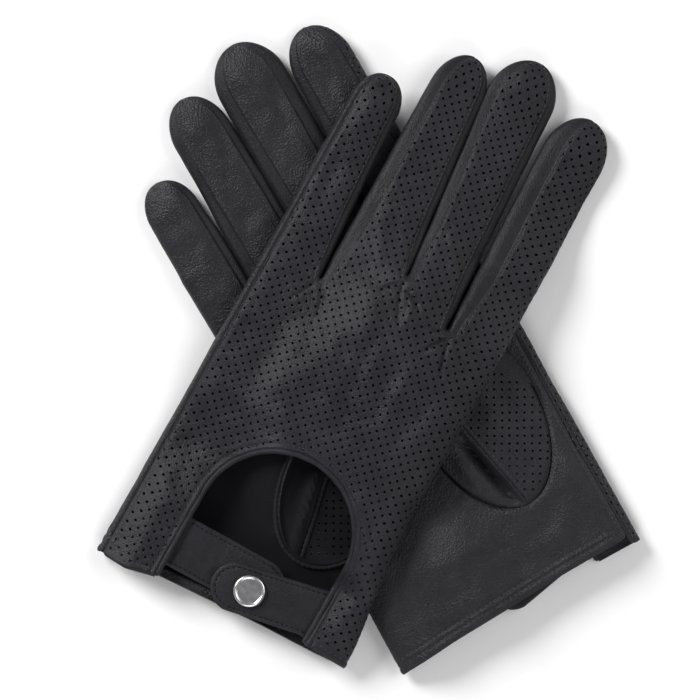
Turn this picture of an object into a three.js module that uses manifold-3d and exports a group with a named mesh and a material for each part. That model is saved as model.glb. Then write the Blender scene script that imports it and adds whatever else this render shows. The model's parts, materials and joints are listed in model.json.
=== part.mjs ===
// A pair of unlined leather driving gloves lying flat: the left glove, back up, lies across the right glove,
// palm up.
//
// Each glove is drawn in its own frame: x towards the thumb, y towards the fingertips, z = 0 on the flat of
// its back and the palm below it. The right glove is the same drawing turned over, which mirrors it.
// Millimetres throughout.
import * as THREE from "three";
import { mergeVertices } from "three/addons/utils/BufferGeometryUtils.js";
import Module from "manifold-3d";

const wasm = await Module();
wasm.setup();

// ---- driving dimensions ----

const LEATHER = 0.9; // thickness of every glove panel
const SEAM_GAP = 0.3; // space left between two pieces that are sewn together
const CUFF_THICKNESS = 12; // outside to outside, back to palm
const HAND_THICKNESS = 8;
const FINGER_THICKNESS = 8.6;

const LITTLE_EDGE = -53; // x of the hand's little-finger side
const INDEX_EDGE = 46.5; // x of its index side, above the cuff's flare
const CUFF_FLARE = 6; // how much wider the index side is at the cuff
const HAND_ROLL = 9; // width over which the flat of the hand rolls down to its side
const FINGER_ROLL = 0.85; // the same on a finger, as a share of its half width
const CROTCHES = [125, 142, 131]; // y of the three finger crotches, from the little finger's
const ROOT_BLEND = 18; // length over which the hand's section turns into a finger's
const FINGERS_BEGIN = [110, 140]; // y over which the hand's thickness turns into the fingers'
// The cuff's fullness fades out over these: y up the hand, and x towards each side.
const FULL_CUFF = { up: [25, 70], little: [-52, -38], index: [41, 52] };
const PALM_WRAP = 2.2; // the palm leather comes this far round the little-finger side, onto the back
const BACK_WRAP = 4; // and the back leather this far round the index side, onto the palm

// Distance of the seams from each finger's silhouette: [towards the little finger, towards the thumb].
const BACK_INSETS = [[PALM_WRAP, 2], [4.5, 2], [3, 2.5], [7, 0]];
const PALM_INSETS = [[0, 2], [3.5, 2.3], [4.5, 4.5], [3.5, BACK_WRAP]];

// A finger's silhouette at its root and where its round tip begins, as x of both sides, and y of its tip.
const LEFT_FINGERS = [
  { root: [-53, -29.5], end: [-53.5, -33.5], tip: 207.5 },
  { root: [-28.5, -0.5], end: [-29.5, -7.5], tip: 230 },
  { root: [0.5, 22.5], end: [-9, 18], tip: 240.5 },
  { root: [23.5, 46.5], end: [20.5, 45.5], tip: 231 },
];
const RIGHT_FINGERS = [
  { root: [-53, -30.5], end: [-54.5, -33.5], tip: 209 },
  { root: [-29.5, -5.5], end: [-31.5, -8], tip: 232.5 },
  { root: [-4.5, 21.5], end: [-7.5, 21], tip: 241.5 },
  { root: [22.5, 49.5], end: [21.8, 47], tip: 234 },
];
const TIP_LENGTHS = [13, 16, 18, 17];
const FINGER_NAMES = ["little", "ring", "middle", "index"];

const KEYHOLE = { x: 3, y: 33, radius: 31.1 }; // centre line of the rolled binding round the wrist cut-out
const BINDING_RADIUS = 0.95;
const BINDING_DEPTH = 1; // its centre line below the flat of the back

const THUMB_HOLE = { x: 21.5, y: 70, halfWidth: 23, halfLength: 38.5 };
const THUMB_TIP = { x: 4, y: 122 };
const THUMB_NECK = { x: 9.5, y: 100, halfWidth: 14.5, slant: 12 };
const THUMB_THICKNESS = 4.5;
const THUMB_INSET = 2; // the thumb's base inside the edge of its hole in the palm
const THUMB_GAP = 1.4; // between the thumb and the palm that it lies along

const STRAP_DEPTH = 2.25; // top of the snap tab below the flat of the back
const TAB = { hinge: 30, roundX: 0.7, roundY: 7, radius: 9.65, highY: 22.8, lowY: 3, thickness: 0.8 };
const ANCHOR_RISE = [35.3, 39]; // the tab's root rises to the back's underside over these x
const LINING = { gap: 0.2, thickness: 0.6, margin: 1 };
const ANCHOR_END = 41; // the tab's sewn root reaches this far under the back
const STUD_STRAP = { start: -34.2, roundX: 8, roundY: 11.9, radius: 10.3, drop: 3.45, thickness: 0.9 };
const STUD_STRAP_RISE = { height: 0.9, span: [-33.5, -29.6] }; // up to the back's underside, over these x
const STUD_STRAP_DIP = [-24, -9]; // x over which it drops below the tab
const SNAP = { x: 6, y: 8.5, shank: 1.5, post: 1.2, clearance: 0.3 };

const LEFT = {
  name: "left",
  fingers: LEFT_FINGERS,
  flare: [0, 60],
  backCuff: [-7, 0.5],
  palmCuff: [-4.5, 0],
  thumbShift: [-4, -3.5],
};
const RIGHT = {
  name: "right",
  fingers: RIGHT_FINGERS,
  flare: [90, 170],
  backCuff: [-2, -2],
  palmCuff: [-3, 2],
  thumbShift: [0, 0],
};

// How the pair lies: each glove turned outwards, with the middles of the cuffs this far apart.
const LEFT_TURN = THREE.MathUtils.degToRad(-29.3);
const RIGHT_TURN = THREE.MathUtils.degToRad(29);
const CUFF_SPACING = 113.5;
const CROSSING_GAP = 1.3; // between the palms, where no thumb is between them
const THUMB_LIFT = 5.6; // and over each thumb that lies between them
const STRAP_LIFT = 1.2; // the left cuff round its strap
// The left hand climbs onto the right one and comes down again over these distances from its little side.
const OVER_HAND = { on: [-30, 6], off: [96, 150] };
const FLAT_CUFF = { up: [25, 36], index: [35, 50], little: [-52, -38] }; // where the strap keeps it level
const THUMB_BUMP = { x: 13, y: 90, halfWidth: 26, halfLength: 38, fade: [0.9, 1.75] };

// ---- looks ----

function leather(name, colour, roughness) {
  return new THREE.MeshStandardMaterial({ name, color: colour, roughness, metalness: 0 });
}

const PERFORATED = leather("perforated_leather", 0x2b2b33, 0.55);
const SMOOTH = leather("smooth_leather", 0x292930, 0.5);
const TRIM = leather("trim_leather", 0x26262d, 0.5);
const METAL = new THREE.MeshStandardMaterial({
  name: "snap_metal",
  color: 0xc9c9cc,
  roughness: 0.3,
  metalness: 1,
});

// ---- the glove's skin ----

const { lerp, smoothstep, degToRad } = THREE.MathUtils;

// Back to palm, outside to outside: thick round the strap, then flat, and a little fuller in the fingers.
function thickness(x, y) {
  const across = smoothstep(x, ...FULL_CUFF.little) * (1 - smoothstep(x, ...FULL_CUFF.index));
  const hand = lerp(HAND_THICKNESS, CUFF_THICKNESS, across * (1 - smoothstep(y, ...FULL_CUFF.up)));
  const towardsFingers = smoothstep(y, ...FINGERS_BEGIN);
  return hand + (FINGER_THICKNESS - HAND_THICKNESS) * towardsFingers;
}

function handEdges(glove, y) {
  const flare = 1 - smoothstep(y, glove.flare[0], glove.flare[1]);
  return [LITTLE_EDGE, INDEX_EDGE + CUFF_FLARE * flare];
}

// An elliptical roll from a flat face to a side: how far it has risen and how much it leans, at an inset.
function roll(inset, width) {
  const past = 1 - Math.min(Math.max(inset, 0), width) / width;
  return { rise: Math.sqrt(1 - past * past), lean: past / width };
}

// A point of the hand's skin at x, y on the back (face 1) or the palm (face -1), with its outward normal.
function handSkin(glove, x, y, face) {
  const [left, right] = handEdges(glove, y);
  const side = x < (left + right) / 2 ? -1 : 1;
  const { rise, lean } = roll(Math.min(x - left, right - x), HAND_ROLL);
  const half = thickness(x, y) / 2;
  return {
    point: new THREE.Vector3(x, y, -half * (1 - face * rise)),
    normal: new THREE.Vector3(side * lean, 0, (face * rise) / half).normalize(),
  };
}

// The rows of a finger, from its root: steps along its straight part, then angles round its tip.
const FINGER_STEPS = [0.25, 0.5, 0.75, 1];
const TIP_ANGLES = [30, 55, 72, 82].map((degrees) => degToRad(degrees));

function fingerStations(glove, index) {
  const straight = FINGER_STEPS.map((step) => ({ step, angle: 0 }));
  const tip = TIP_ANGLES.map((angle) => ({ step: 1, angle }));
  return [{ step: 0, angle: 0 }, ...straight, ...tip].map((station) => ({ glove, index, ...station }));
}

// A point of a finger's skin: `inset` from the silhouette on `side` (-1 or 1), with the finger's root at
// rootY. `sewn` is the inset of the seam that a side wall meets, and 0 on a panel.
function fingerSkin({ glove, index, step, angle }, side, inset, rootY, face, sewn = 0) {
  const finger = glove.fingers[index];
  const reach = TIP_LENGTHS[index];
  const shrink = Math.cos(angle);
  const y = lerp(rootY, finger.tip - reach, step) + reach * Math.sin(angle);
  const left = lerp(finger.root[0], finger.end[0], step);
  const right = lerp(finger.root[1], finger.end[1], step);
  const halfWidth = (right - left) / 2;
  const x = (left + right) / 2 + side * (halfWidth - inset) * shrink;

  const rolled = roll(inset, FINGER_ROLL * halfWidth);
  const blend = smoothstep(y - rootY, 0, ROOT_BLEND);
  const [handLeft, handRight] = handEdges(glove, rootY);
  const outer = (index === 0 && side < 0) || (index === 3 && side > 0);
  const flat = outer ? roll(Math.min(x - handLeft, handRight - x), HAND_ROLL) : { rise: 1, lean: 0 };
  let rise = lerp(flat.rise, rolled.rise, blend);
  if (sewn > 0) {
    const atSeam = roll(sewn, FINGER_ROLL * halfWidth).rise;
    rise = (rolled.rise * lerp(1, atSeam, blend)) / atSeam;
  }
  const lean = lerp(flat.lean, rolled.lean, blend);

  const half = thickness(x, y) / 2;
  return {
    point: new THREE.Vector3(x, y, -half * (1 - face * rise * shrink)),
    normal: new THREE.Vector3(
      side * lean * shrink,
      Math.sin(angle) / reach,
      (face * rise * shrink) / half,
    ).normalize(),
  };
}

// ---- sheets of leather ----

// An open sheet of quads, given by its outer face, that thickens inwards into a closed solid.
class Sheet {
  constructor() {
    this.points = [];
    this.normals = [];
    this.quads = [];
  }

  row(skins) {
    return skins.map(({ point, normal }) => {
      this.points.push(point);
      this.normals.push(normal);
      return this.points.length - 1;
    });
  }

  join(lower, upper) {
    for (let i = 0; i + 1 < lower.length; i += 1) {
      this.quads.push([lower[i], lower[i + 1], upper[i + 1], upper[i]]);
    }
  }

  facesOut() {
    const total = this.quads.reduce((sum, [a, b, c, d]) => {
      const across = this.points[c].clone().sub(this.points[a]);
      const up = this.points[d].clone().sub(this.points[b]);
      return sum + across.cross(up).dot(this.normals[a]);
    }, 0);
    return total > 0;
  }

  thicken(amount) {
    const count = this.points.length;
    const inner = this.points.map((point, i) => point.clone().addScaledVector(this.normals[i], -amount));
    const quads = this.facesOut() ? this.quads : this.quads.map((quad) => [...quad].reverse());
    const used = new Set();
    quads.forEach((quad) => quad.forEach((from, i) => used.add(`${from}>${quad[(i + 1) % 4]}`)));
    const faces = [];
    quads.forEach(([a, b, c, d]) => {
      faces.push([a, b, c], [a, c, d]);
      faces.push([c + count, b + count, a + count], [d + count, c + count, a + count]);
    });
    used.forEach((edge) => {
      const [a, b] = edge.split(">").map(Number);
      if (!used.has(`${b}>${a}`)) {
        faces.push([b, a, a + count], [b, a + count, b + count]);
      }
    });
    const geometry = new THREE.BufferGeometry().setFromPoints([...this.points, ...inner]);
    return geometry.setIndex(faces.flat());
  }
}

function sheetOfRows(rows, amount) {
  const sheet = new Sheet();
  let previous = null;
  rows.forEach((skins) => {
    const current = sheet.row(skins);
    if (previous) {
      sheet.join(previous, current);
    }
    previous = current;
  });
  return sheet.thicken(amount);
}

// ---- back and palm panels ----

const FOLD_START = 1.1 * BACK_WRAP; // inset at which the columns of a folded side begin
const SPAN_STEPS = [0, 1 / 3, 2 / 3, 1];
const HAND_STEPS = [0, 0.1, 0.2, 0.3, 0.42, 0.54, 0.66, 0.78, 0.9, 1];

// Root height of a finger at a share of its width: it slopes between the crotches on its two sides.
function rootHeight(index, share) {
  const before = CROTCHES[Math.max(index - 1, 0)];
  const after = CROTCHES[Math.min(index, CROTCHES.length - 1)];
  return lerp(before, after, share);
}

// The columns of a panel across each finger, with those that wrap round the panel's one folded side.
function panelColumns(face) {
  const insets = face > 0 ? BACK_INSETS : PALM_INSETS;
  const columns = [];
  insets.forEach(([little, thumb], index) => {
    SPAN_STEPS.forEach((share) => columns.push({ index, share, little, thumb, face }));
  });
  const [index, side, wrap] = face > 0 ? [3, 1, BACK_WRAP] : [0, -1, PALM_WRAP];
  const rounds = [
    [0.3 * wrap, face],
    [0, face],
    [0.3 * wrap, -face],
    [wrap - SEAM_GAP / 2, -face],
  ];
  const wraps = rounds.map(([inset, roundFace]) => ({ index, side, inset, face: roundFace }));
  return side > 0 ? [...columns, ...wraps] : [...wraps.reverse(), ...columns];
}

// A span column starts and ends at the panel's seams, or where its folded side begins.
function spanInsets(column) {
  const little = column.little === 0 ? FOLD_START : column.little + SEAM_GAP / 2;
  const thumb = column.thumb === 0 ? FOLD_START : column.thumb + SEAM_GAP / 2;
  return { little, thumb };
}

// A column's side and inset on its finger, whatever the finger's width at a station.
function columnOnFinger(station, column) {
  if (column.side) {
    return column;
  }
  const finger = station.glove.fingers[station.index];
  const left = lerp(finger.root[0], finger.end[0], station.step);
  const right = lerp(finger.root[1], finger.end[1], station.step);
  const { little, thumb } = spanInsets(column);
  const x = lerp(left + little, right - thumb, column.share);
  const side = x < (left + right) / 2 ? -1 : 1;
  const inset = side < 0 ? x - left : right - x;
  return { side, inset, face: column.face };
}

function columnRoot(glove, column) {
  const share = column.side ? (column.side + 1) / 2 : column.share;
  const rootY = rootHeight(column.index, share);
  const [root] = fingerStations(glove, column.index);
  const { side, inset } = columnOnFinger(root, column);
  const { point } = fingerSkin(root, side, inset, rootY, column.face);
  return { x: point.x, y: rootY };
}

function handPoint(glove, column, step) {
  const cuff = column.panelFace > 0 ? glove.backCuff : glove.palmCuff;
  const root = columnRoot(glove, column);
  const [rootLeft, rootRight] = handEdges(glove, root.y);
  const across = (root.x - rootLeft) / (rootRight - rootLeft);
  const y = lerp(lerp(cuff[0], cuff[1], across), root.y, step);
  const [left, right] = handEdges(glove, y);
  if (column.side) {
    const x = column.side < 0 ? left + column.inset : right - column.inset;
    return handSkin(glove, x, y, column.face);
  }
  return handSkin(glove, lerp(left, right, across), y, column.face);
}

function panel(glove, face) {
  const columns = panelColumns(face).map((column) => ({ ...column, panelFace: face }));
  const sheet = new Sheet();
  let row = null;
  HAND_STEPS.forEach((step) => {
    const next = sheet.row(columns.map((column) => handPoint(glove, column, step)));
    if (row) {
      sheet.join(row, next);
    }
    row = next;
  });
  glove.fingers.forEach((finger, index) => {
    const rooted = columns.map((column, i) => ({ column, root: row[i] }));
    const own = rooted.filter(({ column }) => column.index === index);
    let previous = own.map((c) => c.root);
    fingerStations(glove, index).slice(1).forEach((station) => {
      const skins = own.map(({ column }) => {
        const { side, inset, face: columnFace } = columnOnFinger(station, column);
        return fingerSkin(station, side, inset, columnRoot(glove, column).y, columnFace);
      });
      const next = sheet.row(skins);
      sheet.join(previous, next);
      previous = next;
    });
  });
  return sheet.thicken(LEATHER);
}

// ---- fourchettes: the side walls between two fingers, in one strip that turns at the crotch ----

const WALL_STATIONS = -1; // a wall ends one row short of its panels' tips
const WALL_BEND = 0.35; // where a wall's rows between its seams and its middle lie, as a share of the inset
const CROTCH_BOW = 2; // the middle of the web between two fingers stands this far out

function fourchetteRow(station, side, rootY) {
  const edge = side < 0 ? 0 : 1;
  const back = BACK_INSETS[station.index][edge] - SEAM_GAP / 2;
  const palm = PALM_INSETS[station.index][edge] - SEAM_GAP / 2;
  return [
    fingerSkin(station, side, back, rootY, 1, back),
    fingerSkin(station, side, WALL_BEND * back, rootY, 1, back),
    fingerSkin(station, side, 0, rootY, 1, back),
    fingerSkin(station, side, WALL_BEND * palm, rootY, -1, palm),
    fingerSkin(station, side, palm, rootY, -1, palm),
  ];
}

function crotchRow(glove, index) {
  const y = CROTCHES[index] + SEAM_GAP;
  const x = (glove.fingers[index].root[1] + glove.fingers[index + 1].root[0]) / 2;
  const half = thickness(x, y) / 2;
  return [0.6, 0.3, 0, -0.3, -0.6].map((height) => ({
    point: new THREE.Vector3(x, y + CROTCH_BOW * (1 - Math.abs(height)), -half * (1 - height)),
    normal: new THREE.Vector3(0, 1, 0),
  }));
}

function fourchette(glove, index) {
  const rootY = CROTCHES[index] + 2 * SEAM_GAP;
  const stations = (finger) => fingerStations(glove, finger).slice(0, WALL_STATIONS);
  const down = stations(index).map((station) => fourchetteRow(station, 1, rootY));
  const up = stations(index + 1).map((station) => fourchetteRow(station, -1, rootY));
  return sheetOfRows([...down.reverse(), crotchRow(glove, index), ...up], LEATHER);
}

// ---- thumb: a tube that leaves the palm at an oval hole and lies along the palm ----

const THUMB_AROUND = 6; // quads round each half
const THUMB_SEAM = 0.05; // angle between each half's edge and the thumb's middle
const THUMB_RISES = [0, 0.12, 0.3, 0.5, 0.75, 1];
const THUMB_TIP_ANGLES = [30, 55, 73, 84].map((degrees) => degToRad(degrees));

function thumbHole(glove) {
  return { ...THUMB_HOLE, x: THUMB_HOLE.x + glove.thumbShift[0], y: THUMB_HOLE.y + glove.thumbShift[1] };
}

// The thumb's base ring, just inside the hole, at an angle: 90 degrees is the side away from the palm.
function thumbBase(glove, around) {
  const hole = thumbHole(glove);
  const y = hole.y - (hole.halfLength - THUMB_INSET) * Math.sin(around);
  const x = hole.x + (hole.halfWidth - THUMB_INSET) * Math.cos(around);
  return new THREE.Vector3(x, y, -thickness(x, y) + LEATHER / 2);
}

// A ring of the thumb beyond its neck, which shrinks round the tip.
function thumbRing(glove, angle, around) {
  const [shiftX, shiftY] = glove.thumbShift;
  const shrink = Math.cos(angle);
  const along = Math.sin(angle);
  const y = lerp(THUMB_NECK.y, THUMB_TIP.y, along) - THUMB_NECK.slant * Math.sin(around) * (1 - along);
  const x = lerp(THUMB_NECK.x, THUMB_TIP.x, along) + THUMB_NECK.halfWidth * shrink * Math.cos(around);
  const middle = -thickness(x, y) - THUMB_GAP - THUMB_THICKNESS / 2;
  const z = middle - (THUMB_THICKNESS / 2) * shrink * Math.sin(around);
  return new THREE.Vector3(x + shiftX, y + shiftY, z);
}

function thumbPoint(glove, ring, around) {
  if (ring.angle > 0) {
    return thumbRing(glove, ring.angle, around);
  }
  const base = thumbBase(glove, around);
  const neck = thumbRing(glove, 0, around);
  const point = base.clone().lerp(neck, ring.rise);
  point.z = lerp(base.z, neck.z, Math.sqrt(Math.sin((ring.rise * Math.PI) / 2)));
  return point;
}

// The thumb's outward direction: its wall stands up at the base and lies flat further on.
function thumbNormal(ring, around) {
  const flat = new THREE.Vector3(0.35 * Math.cos(around), Math.sin(ring.angle), -Math.sin(around));
  const upright = new THREE.Vector3(Math.cos(around), -Math.sin(around), -0.2 - 0.6 * Math.sin(around));
  const flatness = Math.min(1, 1.6 * ring.rise);
  return upright.normalize().lerp(flat.normalize(), flatness).normalize();
}

// Half of the thumb: its smooth front (side -1) or its perforated back (side 1), seamed down the middle.
function thumbHalf(glove, side) {
  const rings = [
    ...THUMB_RISES.map((rise) => ({ rise, angle: 0 })),
    ...THUMB_TIP_ANGLES.map((angle) => ({ rise: 1, angle })),
  ];
  const middle = side > 0 ? 0 : Math.PI;
  const reach = Math.PI / 2 - THUMB_SEAM;
  const rows = rings.map((ring) => {
    const row = [];
    for (let i = 0; i <= THUMB_AROUND; i += 1) {
      const around = middle + lerp(-reach, reach, i / THUMB_AROUND);
      row.push({ point: thumbPoint(glove, ring, around), normal: thumbNormal(ring, around) });
    }
    return row;
  });
  return sheetOfRows(rows, LEATHER);
}

// ---- joining and cutting ----

function solid(geometry) {
  const bare = geometry.clone();
  bare.deleteAttribute("normal");
  bare.deleteAttribute("uv");
  const merged = mergeVertices(bare, 1e-4);
  return new wasm.Manifold(
    new wasm.Mesh({
      numProp: 3,
      vertProperties: new Float32Array(merged.attributes.position.array),
      triVerts: new Uint32Array(merged.index.array),
    }),
  );
}

function cut(geometry, tool) {
  const { vertProperties, triVerts } = solid(geometry).subtract(solid(tool)).getMesh();
  const result = new THREE.BufferGeometry();
  result.setAttribute("position", new THREE.BufferAttribute(new Float32Array(vertProperties), 3));
  return result.setIndex(new THREE.BufferAttribute(new Uint32Array(triVerts), 1));
}

const CUT_HEIGHT = 80;

function prism(shape) {
  const options = { depth: CUT_HEIGHT, bevelEnabled: false, curveSegments: 24 };
  return new THREE.ExtrudeGeometry(shape, options).translate(0, 0, -CUT_HEIGHT / 2);
}

function keyholeCut() {
  const radius = KEYHOLE.radius + BINDING_RADIUS + SEAM_GAP;
  const shape = new THREE.Shape();
  shape.moveTo(KEYHOLE.x - radius, -30);
  shape.lineTo(KEYHOLE.x + radius, -30);
  shape.lineTo(KEYHOLE.x + radius, KEYHOLE.y);
  shape.absarc(KEYHOLE.x, KEYHOLE.y, radius, 0, Math.PI, false);
  shape.closePath();
  return prism(shape);
}

function thumbCut(glove) {
  const hole = thumbHole(glove);
  const shape = new THREE.Shape();
  shape.absellipse(hole.x, hole.y, hole.halfWidth, hole.halfLength, 0, 2 * Math.PI, false);
  return prism(shape);
}

// ---- wrist cut-out: binding, strap and snap ----

function keyholeBinding(glove) {
  const left = KEYHOLE.x - KEYHOLE.radius;
  const right = KEYHOLE.x + KEYHOLE.radius;
  const points = [];
  const place = (x, y) => points.push(new THREE.Vector3(x, y, -BINDING_DEPTH));
  place(left, glove.backCuff[0] + 3.5);
  place(left, KEYHOLE.y / 2);
  for (let i = 0; i <= 10; i += 1) {
    const angle = Math.PI * (1 - i / 10);
    place(KEYHOLE.x + KEYHOLE.radius * Math.cos(angle), KEYHOLE.y + KEYHOLE.radius * Math.sin(angle));
  }
  place(right, KEYHOLE.y / 2);
  place(right, glove.backCuff[1] + 0.5);
  const path = new THREE.CatmullRomCurve3(points);
  const section = new THREE.Shape();
  section.absarc(0, 0, BINDING_RADIUS, 0, 2 * Math.PI, false);
  return new THREE.ExtrudeGeometry(section, { steps: 30, curveSegments: 4, extrudePath: path });
}

const UP = new THREE.Vector3(0, 0, 1);

// A flat strip in rows across x: each row gives x, its low and high y, and the height of its outer face.
function strip(rows, amount) {
  const skins = rows.map(({ x, low, high, z }) =>
    SPAN_STEPS.map((share) => ({ point: new THREE.Vector3(x, lerp(low, high, share), z), normal: UP })),
  );
  return sheetOfRows(skins, amount);
}

// Rows round the end of a strap that is a half circle, from its widest row to its tip towards `way`.
function roundRows(centreX, centreY, radius, way, z) {
  return [0, 30, 55, 75, 86].map((degrees) => {
    const angle = degToRad(degrees);
    const half = radius * Math.cos(angle);
    return { x: centreX + way * radius * Math.sin(angle), low: centreY - half, high: centreY + half, z };
  });
}

function tabRows(margin, z) {
  const low = TAB.lowY + margin;
  const high = TAB.highY - margin;
  const end = roundRows(TAB.roundX, TAB.roundY, TAB.radius - margin, -1, z);
  return [{ x: TAB.hinge, low, high, z }, ...end];
}

function holeTool(radius) {
  const tool = new THREE.CylinderGeometry(radius, radius, CUT_HEIGHT, 16);
  return tool.rotateX(Math.PI / 2).translate(SNAP.x, SNAP.y, 0);
}

function snapTab() {
  const leaf = strip(tabRows(0, -STRAP_DEPTH), TAB.thickness);
  return cut(leaf, holeTool(SNAP.shank + SNAP.clearance));
}

function tabLining() {
  const z = -STRAP_DEPTH - TAB.thickness - LINING.gap;
  const leaf = strip(tabRows(LINING.margin, z), LINING.thickness);
  return cut(leaf, holeTool(SNAP.shank + SNAP.clearance));
}

function tabAnchor() {
  const slope = (TAB.highY - TAB.roundY - TAB.radius) / (TAB.hinge - TAB.roundX);
  const [riseStart, riseEnd] = ANCHOR_RISE;
  const starts = [TAB.hinge + SEAM_GAP, 32.5, riseStart, 37, riseEnd, ANCHOR_END];
  const rows = starts.map((x) => {
    const high = TAB.highY + slope * (x - TAB.hinge);
    return { x, low: TAB.lowY, high, z: -STRAP_DEPTH + smoothstep(x, riseStart, riseEnd) };
  });
  return strip(rows, TAB.thickness);
}

// The stud strap leaves the back's underside, passes under the binding and dips below the tab.
function studStrap() {
  const height = (x) => {
    const underBack = 1 - smoothstep(x, ...STUD_STRAP_RISE.span);
    const dip = smoothstep(x, ...STUD_STRAP_DIP);
    return -STRAP_DEPTH + STUD_STRAP_RISE.height * underBack - STUD_STRAP.drop * dip;
  };
  const low = STUD_STRAP.roundY - STUD_STRAP.radius;
  const high = STUD_STRAP.roundY + STUD_STRAP.radius;
  const straight = [STUD_STRAP.start, -33.5, -31.5, -29.6, -24, -20, -16.5, -13, -9, -3];
  const rows = straight.map((x) => ({ x, low, high, z: height(x) }));
  const { roundX, roundY, radius } = STUD_STRAP;
  const end = roundRows(roundX, roundY, radius, 1, height(roundX));
  const leaf = strip([...rows, ...end], STUD_STRAP.thickness);
  return cut(leaf, holeTool(SNAP.post + SNAP.clearance));
}

// The snap's four metal pieces are turned shapes about one axis. Heights are from the top of the tab.
function turned(profile) {
  const points = profile.map(([radius, height]) => new THREE.Vector2(radius, height));
  return new THREE.LatheGeometry(points, 16).rotateX(Math.PI / 2);
}

function snapCap() {
  const shank = [[0, -1.65], [SNAP.shank, -1.65], [SNAP.shank, 0.1]];
  const rim = [[5.4, 0.1], [6.1, 0.3], [6.25, 0.9], [6, 1.6], [5.3, 1.95], [4.6, 1.8]];
  const dish = [[4.3, 1.55], [0, 1.5]];
  return turned([...shank, ...rim, ...dish]);
}

function snapSocket() {
  const inner = [[0, -2.05], [2.2, -2.05], [2.3, -2.95]];
  const outer = [[4.4, -2.95], [4.6, -1.95], [4.4, -1.75], [0, -1.75]];
  return turned([...inner, ...outer]);
}

function snapStud() {
  const flange = [[0, -3.35], [3.8, -3.35], [3.8, -3.1]];
  const knob = [[1.6, -3.1], [1.9, -2.6], [1.6, -2.25], [0, -2.25]];
  return turned([...flange, ...knob]);
}

function studPost() {
  const head = [[0, -4.85], [4, -4.85], [4, -4.45]];
  return turned([...head, [SNAP.post, -4.45], [SNAP.post, -3.42], [0, -3.42]]);
}

// ---- how the left glove lies over the right ----

// A place in the left glove's frame, seen from the right glove's.
function seenFromRight(x, y) {
  const place = new THREE.Vector2(x, y).rotateAround(new THREE.Vector2(), LEFT_TURN);
  place.x -= CUFF_SPACING;
  return place.rotateAround(new THREE.Vector2(), -RIGHT_TURN);
}

// 1 over a thumb and 0 away from it, in the frame of the thumb's own glove.
function thumbBump(glove, x, y) {
  const acrossThumb = (x - THUMB_BUMP.x - glove.thumbShift[0]) / THUMB_BUMP.halfWidth;
  const alongThumb = (y - THUMB_BUMP.y - glove.thumbShift[1]) / THUMB_BUMP.halfLength;
  return 1 - smoothstep(Math.hypot(acrossThumb, alongThumb), ...THUMB_BUMP.fade);
}

function lift(x, y) {
  const under = seenFromRight(x, y);
  const crossed = under.x - LITTLE_EDGE;
  const overHand = smoothstep(crossed, ...OVER_HAND.on) * (1 - smoothstep(crossed, ...OVER_HAND.off));
  const thumbs = thumbBump(LEFT, x, y) + thumbBump(RIGHT, under.x, under.y);
  const draped = (thickness(under.x, under.y) + CROSSING_GAP) * overHand + THUMB_LIFT * thumbs;
  const across = (1 - smoothstep(x, ...FLAT_CUFF.index)) * smoothstep(x, ...FLAT_CUFF.little);
  return lerp(draped, STRAP_LIFT, across * (1 - smoothstep(y, ...FLAT_CUFF.up)));
}

// The palm of a glove that lies back up rests on what is under it.
function rise(glove, x, y) {
  return glove === LEFT ? thickness(x, y) + lift(x, y) : 0;
}

function settle(glove, geometry) {
  const position = geometry.getAttribute("position");
  for (let i = 0; i < position.count; i += 1) {
    position.setZ(i, position.getZ(i) + rise(glove, position.getX(i), position.getY(i)));
  }
  return geometry;
}

// ---- the gloves ----

function named(glove, name, geometry, material) {
  const mesh = new THREE.Mesh(geometry, material);
  mesh.name = `${glove.name}_${name}`;
  return mesh;
}

function softPieces(glove) {
  const back = cut(settle(glove, panel(glove, 1)), keyholeCut());
  const palm = cut(settle(glove, panel(glove, -1)), thumbCut(glove));
  const pieces = [named(glove, "back_panel", back, PERFORATED), named(glove, "palm_panel", palm, SMOOTH)];
  CROTCHES.forEach((_, index) => {
    const name = `fourchette_${FINGER_NAMES[index]}_${FINGER_NAMES[index + 1]}`;
    pieces.push(named(glove, name, settle(glove, fourchette(glove, index)), SMOOTH));
  });
  pieces.push(named(glove, "thumb_front", settle(glove, thumbHalf(glove, -1)), SMOOTH));
  pieces.push(named(glove, "thumb_back", settle(glove, thumbHalf(glove, 1)), PERFORATED));
  pieces.push(named(glove, "keyhole_binding", settle(glove, keyholeBinding(glove)), TRIM));
  return pieces;
}

// The strap and its snap keep their shape, so they sit together at one height.
function strapGroup(glove) {
  const straps = new THREE.Group();
  straps.position.z = rise(glove, SNAP.x, SNAP.y);
  straps.add(named(glove, "stud_strap", studStrap(), TRIM));
  straps.add(named(glove, "tab_anchor", tabAnchor(), TRIM));
  straps.add(named(glove, "snap_tab", snapTab(), TRIM));
  straps.add(named(glove, "tab_lining", tabLining(), TRIM));
  const snap = new THREE.Group();
  snap.position.set(SNAP.x, SNAP.y, -STRAP_DEPTH);
  snap.add(named(glove, "snap_cap", snapCap(), METAL));
  snap.add(named(glove, "snap_socket", snapSocket(), METAL));
  snap.add(named(glove, "snap_stud", snapStud(), METAL));
  snap.add(named(glove, "stud_post", studPost(), METAL));
  straps.add(snap);
  return straps;
}

function makeGlove(glove) {
  const group = new THREE.Group();
  group.add(...softPieces(glove), strapGroup(glove));
  return group;
}

const leftGlove = makeGlove(LEFT);
leftGlove.position.x = -CUFF_SPACING / 2;
leftGlove.rotation.z = LEFT_TURN;

const rightGlove = makeGlove(RIGHT);
rightGlove.position.x = CUFF_SPACING / 2;
rightGlove.rotation.z = RIGHT_TURN;
rightGlove.scale.z = -1;

// The origin is the middle of the pair's outline, on the surface that it lies on.
const pair = new THREE.Group();
pair.add(leftGlove, rightGlove);
const outline = new THREE.Box3().setFromObject(pair, true);
const middle = outline.getCenter(new THREE.Vector3());
pair.position.set(-middle.x, -middle.y, -outline.min.z);

const gloves = new THREE.Group();
gloves.add(pair);

export default gloves;
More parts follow.
